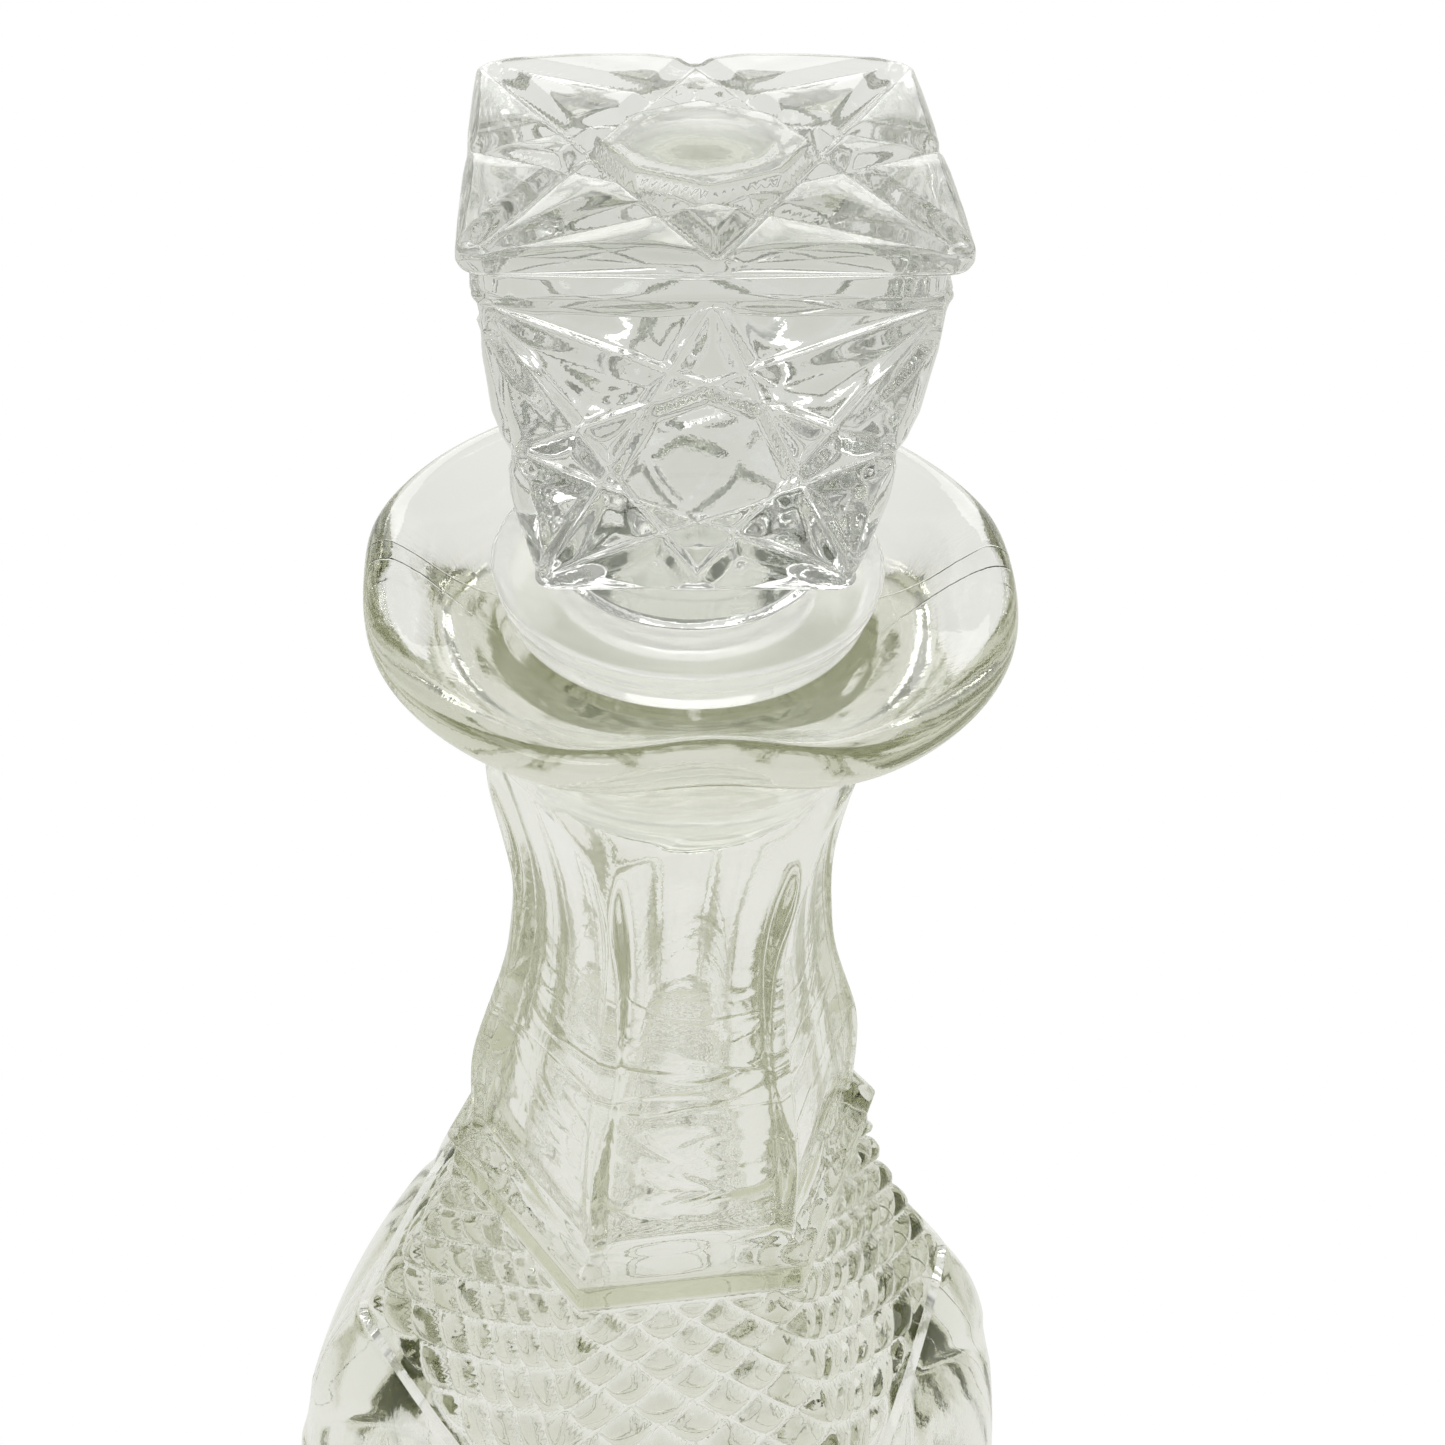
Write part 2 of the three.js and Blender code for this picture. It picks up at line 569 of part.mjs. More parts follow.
/** A V-shaped cutter along a straight line on a face. */
function grooveCutter(from, to, outward) {
  const over = 1;
  const slope = STAR_GROOVE_WIDTH / 2 / STAR_GROOVE_DEPTH;
  const shape = new THREE.Shape();
  const halfTop = slope * (STAR_GROOVE_DEPTH + over);
  shape.moveTo(0, -STAR_GROOVE_DEPTH);
  shape.lineTo(halfTop, over);
  shape.lineTo(-halfTop, over);
  shape.closePath();
  const along = new THREE.Vector3().subVectors(to, from);
  const length = along.length();
  along.normalize();
  const across = new THREE.Vector3().crossVectors(outward, along);
  const geometry = new THREE.ExtrudeGeometry(shape, { depth: length, bevelEnabled: false });
  const basis = new THREE.Matrix4().makeBasis(across, outward, along);
  basis.setPosition(from);
  geometry.applyMatrix4(basis);
  return solidOf(geometry);
}

/** The eight grooves of a star on a four-cornered face, each from a corner to a far mid-edge. */
function starCutters(corners, outward) {
  const points = [];
  corners.forEach((corner, index) => {
    const next = corners[(index + 1) % corners.length];
    points.push(corner, corner.clone().lerp(next, 0.5));
  });
  return points.map((from, index) => {
    const to = points[(index + 3) % points.length];
    const reach = new THREE.Vector3().subVectors(to, from).setLength(STAR_GROOVE_WIDTH / 3);
    return grooveCutter(from.clone().sub(reach), to.clone().add(reach), outward);
  });
}

function sideStars() {
  const low = SIDE_STAR_BOTTOM_HEIGHT;
  const high = SIDE_STAR_TOP_HEIGHT;
  const lowHalf = taperHalf(low);
  const highHalf = taperHalf(high);
  const inset = SIDE_STAR_INSET;
  const lean = Math.atan2(highHalf - lowHalf, high - low);
  const cutters = [];
  for (let side = 0; side < 4; side += 1) {
    const turn = (side * Math.PI) / 2;
    const axis = new THREE.Vector3(0, 0, 1);
    const corners = [
      new THREE.Vector3(-lowHalf + inset, -lowHalf, low),
      new THREE.Vector3(lowHalf - inset, -lowHalf, low),
      new THREE.Vector3(highHalf - inset, -highHalf, high),
      new THREE.Vector3(-highHalf + inset, -highHalf, high),
    ].map((corner) => corner.applyAxisAngle(axis, turn));
    const outward = new THREE.Vector3(0, -Math.cos(lean), -Math.sin(lean));
    outward.applyAxisAngle(axis, turn);
    cutters.push(...starCutters(corners, outward));
  }
  return cutters;
}

function topStar() {
  const half = BLOCK_TOP_WIDTH / 2 - RIM_ROUNDING;
  const height = BLOCK_TOP_HEIGHT;
  const corners = [[-1, -1], [1, -1], [1, 1], [-1, 1]].map(
    ([x, y]) => new THREE.Vector3(x * half, y * half, height),
  );
  return starCutters(corners, new THREE.Vector3(0, 0, 1));
}

function pegSolid() {
  const bottom = COLLAR_BOTTOM_HEIGHT - PEG_LENGTH;
  const inBlock = BLOCK_BOTTOM_HEIGHT + 2 * BLOCK_FOOT_BEVEL;
  const upCollar = (share) => COLLAR_BOTTOM_HEIGHT + COLLAR_HEIGHT * share;
  const outline = [
    [0, bottom],
    [PEG_RADIUS - PEG_ROUNDING, bottom],
    [PEG_RADIUS - PEG_ROUNDING * 0.3, bottom + PEG_ROUNDING * 0.3],
    [PEG_RADIUS, bottom + PEG_ROUNDING],
    [PEG_RADIUS, COLLAR_BOTTOM_HEIGHT],
    [COLLAR_RADIUS - COLLAR_ROUNDING, COLLAR_BOTTOM_HEIGHT],
    [COLLAR_RADIUS, COLLAR_BOTTOM_HEIGHT + COLLAR_ROUNDING],
    [COLLAR_RADIUS - COLLAR_WAIST / 2, upCollar(0.35)],
    [COLLAR_RADIUS - COLLAR_WAIST, upCollar(0.65)],
    [COLLAR_RADIUS - COLLAR_WAIST * 0.75, inBlock],
    [0, inBlock],
  ];
  return solidOf(turned(outline));
}

function stopperGeometry() {
  const cutters = [...sideStars(), ...topStar()];
  const starred = cutters.reduce((block, cutter) => block.subtract(cutter), blockSolid());
  return geometryOf(starred.add(pegSolid()));
}

// ---------------------------------------------------------------- assembly

const clearGlass = new THREE.MeshStandardMaterial({
  color: 0xe4e8e0,
  roughness: 0.04,
  metalness: 0,
});
const milkyPlastic = new THREE.MeshStandardMaterial({
  color: 0xeceeea,
  roughness: 0.3,
  metalness: 0,
});

function piece(name, geometry, material) {
  const mesh = new THREE.Mesh(geometry, material);
  mesh.name = name;
  return mesh;
}

const decanter = new THREE.Group();
const bottle = piece('bottle', bottleGeometry(), clearGlass);
const seal = piece('seal_sleeve', sealGeometry(), milkyPlastic);
const stopper = piece('stopper', stopperGeometry(), clearGlass);
stopper.rotation.z = STOPPER_TWIST;
decanter.add(bottle, seal, stopper);

export default decanter;
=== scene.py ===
"""Finished look of a pressed glass decanter: hexagonal bottle, soft seal and square star-cut stopper.

Metres, +Z up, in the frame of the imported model. Side 0 of the bottle and of the stopper faces -Y.
"""

import logging
import math
from dataclasses import dataclass, field
from enum import Enum

import bpy
import numpy as np
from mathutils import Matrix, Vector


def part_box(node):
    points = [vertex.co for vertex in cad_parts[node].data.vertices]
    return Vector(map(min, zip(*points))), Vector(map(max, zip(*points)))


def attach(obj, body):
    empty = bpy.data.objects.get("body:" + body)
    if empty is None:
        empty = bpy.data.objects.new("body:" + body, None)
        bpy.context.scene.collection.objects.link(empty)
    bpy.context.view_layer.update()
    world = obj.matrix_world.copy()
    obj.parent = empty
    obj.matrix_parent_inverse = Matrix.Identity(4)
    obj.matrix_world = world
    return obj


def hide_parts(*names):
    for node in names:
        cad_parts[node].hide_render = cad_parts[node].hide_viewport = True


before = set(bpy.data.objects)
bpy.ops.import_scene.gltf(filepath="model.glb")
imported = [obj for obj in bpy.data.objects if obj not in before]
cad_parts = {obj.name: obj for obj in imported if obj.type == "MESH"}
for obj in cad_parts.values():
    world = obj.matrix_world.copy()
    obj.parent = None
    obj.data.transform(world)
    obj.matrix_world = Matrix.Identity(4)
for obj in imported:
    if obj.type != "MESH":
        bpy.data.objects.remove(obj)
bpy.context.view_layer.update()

LOG = logging.getLogger("decanter")
REST_GAP = 0.0003  # room left between two pieces that rest on each other

Feed = bpy.types.NodeSocket | float | int | str | tuple | None
Outline = list[tuple[float, float]]


class Slot(Enum):
    """Names of the material slots."""

    BOTTLE = "bottle_glass"
    STOPPER = "stopper_glass"
    SEAL = "seal_plastic"


# ---------------------------------------------------------------- numbers and curves


def smoothstep(value: np.ndarray | float, low: float, high: float) -> np.ndarray | float:
    """Eased share of the way from low to high.

    Args:
        value: where to read the curve.
        low: the place where it is still 0.
        high: the place from where it is 1.

    Returns:
        Shares from 0 to 1.
    """
    share = np.clip((value - low) / (high - low), 0.0, 1.0)
    return share * share * (3.0 - 2.0 * share)


def lerp(start: float, end: float, share: np.ndarray | float) -> np.ndarray | float:
    """The value a share of the way from start to end."""
    return start + (end - start) * share


def smooth_through(pairs: Outline, at: np.ndarray | float) -> np.ndarray:
    """A smooth curve through (place, value) pairs given in rising order.

    Args:
        pairs: the pairs.
        at: where to read the curve.

    Returns:
        The curve's values.
    """
    known = np.array(pairs)
    place, value = known[:, 0], known[:, 1]
    slope = np.gradient(value, place)
    at = np.asarray(at, float)
    index = np.clip(np.searchsorted(place, at) - 1, 0, len(place) - 2)
    span = place[index + 1] - place[index]
    share = np.clip((at - place[index]) / span, 0.0, 1.0)
    square, cube = share**2, share**3
    return (
        (2 * cube - 3 * square + 1) * value[index]
        + (cube - 2 * square + share) * span * slope[index]
        + (3 * square - 2 * cube) * value[index + 1]
        + (cube - square) * span * slope[index + 1]
    )


def arc(centre: tuple[float, float], radius: float, start: float, end: float, steps: int) -> Outline:
    """Points on a round stretch of an outline.

    Args:
        centre: (radius, height) of its middle.
        radius: its own radius.
        start: first angle in degrees, 0 pointing outwards and 90 upwards.
        end: last angle in degrees.
        steps: number of stretches.

    Returns:
        Its points, both ends included.
    """
    turns = np.radians(np.linspace(start, end, steps + 1))
    return [(centre[0] + radius * math.cos(t), centre[1] + radius * math.sin(t)) for t in turns]


def bend(start: tuple, pull: tuple, end: tuple, steps: int) -> Outline:
    """Points on a quadratic curve drawn towards a third point.

    Args:
        start: its first point.
        pull: the point that draws it.
        end: its last point.
        steps: number of stretches.

    Returns:
        Its points, both ends included.
    """
    made = []
    for share in np.linspace(0.0, 1.0, steps + 1):
        back = 1.0 - share
        made.append(
            tuple(back * back * s + 2 * back * share * p + share * share * e
                  for s, p, e in zip(start, pull, end))
        )
    return made


def hexagon(angle: np.ndarray, sharpness: float) -> np.ndarray:
    """Radius of a hexagon whose flats are 1 from its middle, with softened corners.

    Args:
        angle: directions in radians; a flat lies across each multiple of 60 degrees.
        sharpness: the larger, the tighter the corners.

    Returns:
        Radii, 1 at the middle of a flat.
    """
    total = np.zeros_like(angle)
    for side in range(6):
        total += np.maximum(np.cos(angle - side * math.pi / 3), 0.0) ** sharpness
    return total ** (-1.0 / sharpness)


def softer_min(first: np.ndarray, second: np.ndarray, sharpness: float) -> np.ndarray:
    """The smaller of two radii, with the edge where they meet softened."""
    return (first ** -sharpness + second ** -sharpness) ** (-1.0 / sharpness)


# ---------------------------------------------------------------- node trees


class Tree:
    """Short calls that add nodes to a node tree and wire them."""

    def __init__(self, tree: bpy.types.NodeTree) -> None:
        """Keeps the node tree to fill."""
        self.tree = tree

    def feed(self, socket: bpy.types.NodeSocket, value: Feed) -> None:
        """Wires a socket into an input, or sets the input's own value.

        Args:
            socket: the input.
            value: a socket, a plain value, or None to leave the input alone.
        """
        if isinstance(value, bpy.types.NodeSocket):
            self.tree.links.new(value, socket)
        elif value is not None:
            socket.default_value = value

    def add(self, kind: str, feeds: dict | None = None, **settings: object) -> bpy.types.Node:
        """Adds a node.

        Args:
            kind: the node's type.
            feeds: what goes into its inputs, by their name or place.
            settings: the node's own settings.

        Returns:
            The node.
        """
        node = self.tree.nodes.new(kind)
        for name, value in settings.items():
            setattr(node, name, value)
        for name, value in (feeds or {}).items():
            self.feed(node.inputs[name], value)
        return node

    def math(self, operation: str, *values: Feed, clamp: bool = False) -> bpy.types.NodeSocket:
        """Adds a Math node and returns its result."""
        feeds = dict(enumerate(values))
        return self.add("ShaderNodeMath", feeds, operation=operation, use_clamp=clamp).outputs[0]

    def ramp(self, value: Feed, low: Feed, high: Feed, to: tuple = (0.0, 1.0)) -> bpy.types.NodeSocket:
        """Adds an eased change of a value.

        Args:
            value: the value.
            low: where the change starts.
            high: where it ends.
            to: what it gives at low and at high.

        Returns:
            The eased value.
        """
        feeds = {"Value": value, "From Min": low, "From Max": high, "To Min": to[0], "To Max": to[1]}
        node = self.add("ShaderNodeMapRange", feeds, interpolation_type="SMOOTHSTEP")
        return node.outputs["Result"]


def new_material(name: str) -> tuple[bpy.types.Material, Tree]:
    """Starts a material with an empty node tree.

    Args:
        name: the material's name.

    Returns:
        The material and its tree.
    """
    material = bpy.data.materials.new(name)
    material.use_nodes = True
    material.node_tree.nodes.clear()
    return material, Tree(material.node_tree)


def new_object(name: str, data: bpy.types.ID) -> bpy.types.Object:
    """Makes an object at the origin and links it to the scene.

    Args:
        name: the object's name.
        data: its mesh, light or camera.

    Returns:
        The object.
    """
    made = bpy.data.objects.new(name, data)
    bpy.context.scene.collection.objects.link(made)
    return made


@dataclass(frozen=True)
class Port:
    """One named input or output of a group."""

    name: str
    kind: str = "Float"
    value: float | tuple | None = None


def new_group(name: str, kind: str, inputs: list[Port], outputs: list[Port]) -> tuple:
    """Starts a node group.

    Args:
        name: the group's name.
        kind: "ShaderNodeTree" or "GeometryNodeTree".
        inputs: its inputs.
        outputs: its outputs.

    Returns:
        Its Tree, its input node's sockets and its output node's sockets.
    """
    group = bpy.data.node_groups.new(name, kind)
    for port, side in [(p, "INPUT") for p in inputs] + [(p, "OUTPUT") for p in outputs]:
        socket = group.interface.new_socket(
            name=port.name, in_out=side, socket_type="NodeSocket" + port.kind
        )
        if port.value is not None:
            socket.default_value = port.value
    tree = Tree(group)
    return tree, tree.add("NodeGroupInput").outputs, tree.add("NodeGroupOutput").inputs


def input_keys(group: bpy.types.NodeTree) -> dict[str, str]:
    """The identifiers of a group's inputs by their names."""
    items = group.interface.items_tree
    return {item.name: item.identifier for item in items if item.in_out == "INPUT"}


def pressed_by(piece: bpy.types.Object, group: bpy.types.NodeTree, values: dict) -> bpy.types.Object:
    """Runs a geometry tree on a piece and keeps the result as its plain mesh.

    Args:
        piece: the object whose mesh the tree reads.
        group: the tree.
        values: what its named inputs are set to.

    Returns:
        The same object, with no modifier left on it.
    """
    modifier = piece.modifiers.new(group.name, "NODES")
    modifier.node_group = group
    keys = input_keys(group)
    for name, value in values.items():
        modifier[keys[name]] = value
    bpy.context.view_layer.update()
    depsgraph = bpy.context.evaluated_depsgraph_get()
    made = bpy.data.meshes.new_from_object(piece.evaluated_get(depsgraph))
    rough = piece.data
    piece.modifiers.clear()
    piece.data = made
    bpy.data.meshes.remove(rough)
    made.name = piece.name
    for name in [each.name for each in made.attributes]:
        if name in Skin.CARRIED:
            made.attributes.remove(made.attributes[name])
    made.shade_smooth()
    return piece


# ---------------------------------------------------------------- surfaces


class Skin:
    """A closed surface built from loops of points, each joined to the one before it."""

    CARRIED = (
        "across", "step", "edge", "lattice", "garland", "shade",
        "near", "middle", "star", "table", "inward",
    )

    def __init__(self) -> None:
        """Starts an empty surface."""
        self.points: list[np.ndarray] = []
        self.faces: list[tuple[int, ...]] = []
        self.fields: dict[str, list[np.ndarray]] = {}
        self.count = 0

    @staticmethod
    def _shape(name: str, number: int) -> tuple[int, ...]:
        """Shape of the values of a carried field for a number of points."""
        return (number, 3) if name == "inward" else (number,)

    def place(self, points: np.ndarray, **fields: np.ndarray | float) -> np.ndarray:
        """Adds points.

        Args:
            points: their places, one row each.
            fields: values carried by the points, for the geometry trees.

        Returns:
            Their indices.
        """
        points = np.atleast_2d(points)
        number = len(points)
        for name, value in fields.items():
            full = np.broadcast_to(np.asarray(value, float), self._shape(name, number))
            blank = np.zeros(self._shape(name, self.count))
            self.fields.setdefault(name, [blank] if self.count else []).append(full)
        for name, parts in self.fields.items():
            if name not in fields:
                parts.append(np.zeros(self._shape(name, number)))
        self.points.append(points)
        self.count += number
        return np.arange(self.count - number, self.count)

    def join(self, lower: np.ndarray, upper: np.ndarray) -> None:
        """Joins two closed loops whose counts are equal or a whole number of times each other.

        Args:
            lower: the loop on the inner or lower side of the walk along the outline.
            upper: the next loop.
        """
        if len(lower) == len(upper):
            after_low, after_up = np.roll(lower, -1), np.roll(upper, -1)
            quads = np.stack([lower, after_low, after_up, upper], 1)
            self.faces.extend(map(tuple, quads.tolist()))
            return
        fine, coarse, turned = (lower, upper, False) if len(lower) > len(upper) else (upper, lower, True)
        ratio = len(fine) // len(coarse)
        for index, here in enumerate(coarse):
            following = coarse[(index + 1) % len(coarse)]
            run = [fine[(index * ratio + k) % len(fine)] for k in range(ratio + 1)]
            half = ratio // 2
            made = [(run[k], run[k + 1], here) for k in range(half)]
            made += [(run[k], run[k + 1], following) for k in range(half, ratio)]
            made.append((run[half], following, here))
            if turned:
                made = [face[::-1] for face in made]
            self.faces.extend(tuple(int(i) for i in face) for face in made)

    def close(self, loop: np.ndarray, pole: int, rising: bool) -> None:
        """Closes a loop with a fan to one point.

        Args:
            loop: the loop.
            pole: the point's index.
            rising: True where the walk along the outline ends at the pole.
        """
        for here, after in zip(loop, np.roll(loop, -1)):
            face = (int(here), int(after), pole) if rising else (int(after), int(here), pole)
            self.faces.append(face)

    def piece(self, name: str) -> bpy.types.Object:
        """Makes the object.

        Args:
            name: its name.

        Returns:
            The linked object, at the origin.
        """
        mesh = bpy.data.meshes.new(name)
        mesh.from_pydata(np.concatenate(self.points).tolist(), [], self.faces)
        for field_name, parts in self.fields.items():
            values = np.concatenate(parts).astype(np.float32)
            if field_name == "inward":
                mesh.attributes.new(field_name, "FLOAT_VECTOR", "POINT").data.foreach_set(
                    "vector", values.ravel()
                )
            else:
                mesh.attributes.new(field_name, "FLOAT", "POINT").data.foreach_set("value", values)
        mesh.validate()
        mesh.shade_smooth()
        return new_object(name, mesh)


# ---------------------------------------------------------------- geometry trees


class Reliefs:
    """The geometry trees that press patterns into plain surfaces."""

    @staticmethod
    def off_line(tree: Tree, value: Feed, period: float) -> bpy.types.NodeSocket:
        """Distance from a running number to the nearest line of an evenly spaced set.

        Args:
            tree: the tree to fill.
            value: the running number.
            period: from one line to the next.

        Returns:
            The distance.
        """
        shifted = tree.math("ADD", value, period / 2)
        wrapped = tree.math("FLOORED_MODULO", shifted, period)
        return tree.math("ABSOLUTE", tree.math("SUBTRACT", wrapped, period / 2))

    @staticmethod
    def pillow(tree: Tree, distance: Feed, groove: Feed, half: float, crown: Feed) -> bpy.types.NodeSocket:
        """How high a pad stands at a distance from its groove.

        Args:
            tree: the tree to fill.
            distance: from the groove's line, in the pattern's own units.
            groove: half the groove's width in those units.
            half: distance from the line to the middle of the pad.
            crown: share of the height that is its gentle crown.

        Returns:
            0 in the groove, 1 in the middle of the pad.
        """
        wall = tree.ramp(distance, 0.0, groove)
        away = tree.math("SUBTRACT", 1.0, tree.math("DIVIDE", distance, half), clamp=True)
        dome = tree.math("SUBTRACT", 1.0, tree.math("MULTIPLY", away, away))
        flat = tree.math("SUBTRACT", 1.0, crown)
        blend = tree.math("MULTIPLY_ADD", dome, crown, flat)
        return tree.math("MULTIPLY", wall, blend)

    @staticmethod
    def start(name: str, inputs: list[Port]) -> tuple:
        """Starts a tree with geometry in, a material and geometry out."""
        ports = [Port("Geometry", "Geometry"), *inputs, Port("Finish", "Material")]
        return new_group(name, "GeometryNodeTree", ports, [Port("Geometry", "Geometry")])

    @staticmethod
    def carried(tree: Tree, name: str, kind: str = "FLOAT") -> bpy.types.NodeSocket:
        """Reads a value that the surface's points carry, for a tree to use."""
        node = tree.add("GeometryNodeInputNamedAttribute", {"Name": name}, data_type=kind)
        return next(s for s in node.outputs if s.enabled and s.name == "Attribute")

    @classmethod
    def finish(
        cls, tree: Tree, given: object, out: object, depth: Feed, pad: Feed = 0.0
    ) -> bpy.types.NodeTree:
        """Moves the points inwards by depth and ends the tree.

        Args:
            tree: the tree to fill.
            given: its input sockets.
            out: its output sockets.
            depth: how far a point sinks, in metres.
            pad: how high a point stands on a pad of the pattern, kept for the glass as the mask of its
                painted shade.

        Returns:
            The finished tree.
        """
        inward = cls.carried(tree, "inward", "FLOAT_VECTOR")
        scale = tree.add("ShaderNodeVectorMath", {0: inward, "Scale": depth}, operation="SCALE")
        moved = tree.add(
            "GeometryNodeSetPosition", {"Geometry": given["Geometry"], "Offset": scale.outputs[0]}
        )
        # stores the mask of the painted shade that the glass reads as its pad value
        kept = tree.add(
            "GeometryNodeStoreNamedAttribute",
            {"Geometry": moved.outputs[0], "Name": "pad", "Value": pad},
            data_type="FLOAT",
            domain="POINT",
        )
        real = tree.add("GeometryNodeRealizeInstances", {"Geometry": kept.outputs[0]})
        dressed = tree.add(
            "GeometryNodeSetMaterial", {"Geometry": real.outputs[0], "Material": given["Finish"]}
        )
        tree.feed(out["Geometry"], dressed.outputs[0])
        return tree.tree

    @classmethod
    def bottle(cls) -> bpy.types.NodeTree:
        """The small-diamond lattice and the crossing garlands of the bottle, with the mask of the painted
        shade on their pads.
        """
        sizes = ["Lattice Depth", "Lattice Groove", "Lattice Crown",
                 "Garland Depth", "Garland Groove", "Garland Crown", "Garland Shade"]
        tree, given, out = cls.start("bottle_relief", [Port(name) for name in sizes])
        across, step, edge = (cls.carried(tree, name) for name in ("across", "step", "edge"))
        rising = tree.math("SUBTRACT", across, step)
        falling = tree.math("ADD", across, step)
        depths, heights = [], []
        for name, period, shift in (("Lattice", 2.0, 1.0), ("Garland", 8.0, 2.0)):
            groove, crown = given[name + " Groove"], given[name + " Crown"]
            pads = [
                cls.pillow(tree, cls.off_line(tree, value, period), groove, period / 2, crown)
                for value in (
                    tree.math("ADD", rising, shift),
                    tree.math("SUBTRACT", falling, shift),
                )
            ]
            ends = tree.ramp(edge, 0.0, groove)
            height = tree.math("MULTIPLY", tree.math("MULTIPLY", *pads), ends)
            sunk = tree.math("MULTIPLY", tree.math("SUBTRACT", 1.0, height), given[name + " Depth"])
            depths.append(tree.math("MULTIPLY", sunk, cls.carried(tree, name.lower())))
            heights.append(tree.math("MULTIPLY", height, cls.carried(tree, name.lower())))
        # painted shade: lattice pads, the ledge band and, more faintly, the garland pads make the mask that
        # darkens the glass's base colour
        lattice = tree.math("ADD", heights[0], cls.carried(tree, "shade"))
        pad = tree.math("MULTIPLY_ADD", heights[1], given["Garland Shade"], lattice)
        return cls.finish(tree, given, out, tree.math("ADD", *depths), pad)

    @classmethod
    def stopper(cls) -> bpy.types.NodeTree:
        """The stars of the stopper: grooves, domed pads and a bevelled table in the middle, with the mask
        of painted shade on the pads.
        """
        sizes = ["Groove Depth", "Groove Half Width", "Pad Height", "Pad Reach",
                 "Bevel Width", "Table Height", "Lens Radius", "Lens Depth"]
        tree, given, out = cls.start("stopper_stars", [Port(name) for name in sizes])
        near, middle = cls.carried(tree, "near"), cls.carried(tree, "middle")
        table, star = cls.carried(tree, "table"), cls.carried(tree, "star")
        share = tree.math("SUBTRACT", 1.0, tree.math("DIVIDE", near, given["Groove Half Width"]))
        soft = tree.math("SQRT", tree.math("MULTIPLY_ADD", share, share, 0.012))
        vee = tree.math("MULTIPLY", tree.math("ADD", share, soft), 0.5)
        groove = tree.math("MULTIPLY", vee, given["Groove Depth"])
        dome = tree.ramp(near, given["Groove Half Width"], given["Pad Reach"])
        pads = tree.math("SUBTRACT", groove, tree.math("MULTIPLY", dome, given["Pad Height"]))
        bevel = tree.math("DIVIDE", near, given["Bevel Width"], clamp=True)
        eased = tree.math("MULTIPLY", bevel, tree.math("SUBTRACT", 2.0, bevel))
        drop = tree.math("ADD", given["Groove Depth"], given["Table Height"])
        rise = tree.math("SUBTRACT", given["Groove Depth"], tree.math("MULTIPLY", eased, drop))
        out_share = tree.math("DIVIDE", middle, given["Lens Radius"], clamp=True)
        bowl = tree.ramp(out_share, 1.0, 0.0)
        dished = tree.math("MULTIPLY_ADD", bowl, given["Lens Depth"], rise)
        mixed = tree.add("ShaderNodeMix", {0: table, 2: pads, 3: dished})
        depth = tree.math("MULTIPLY", mixed.outputs[0], star)
        # painted shade: the domed pads of the stars are the mask that darkens the stopper's base colour
        return cls.finish(tree, given, out, depth, tree.math("MULTIPLY", dome, star))

    @classmethod
    def seal(cls) -> bpy.types.NodeTree:
        """The thin fins that repeat down the seal's sleeve."""
        tree, given, out = cls.start("seal_fins", [Port("Fins"), Port("Reach")])
        turns = tree.math("MULTIPLY", cls.carried(tree, "step"), given["Fins"])
        share = tree.math("FRACT", turns)
        rise = tree.math("POWER", tree.ramp(share, 0.25, 0.55), 1.5)
        fall = tree.ramp(share, 0.75, 0.55)
        fin = tree.math("MULTIPLY", tree.math("MINIMUM", rise, fall), given["Reach"])
        outwards = tree.math("MULTIPLY", fin, tree.math("MULTIPLY", cls.carried(tree, "across"), -1.0))
        return cls.finish(tree, given, out, outwards)


# ---------------------------------------------------------------- shared surface effects


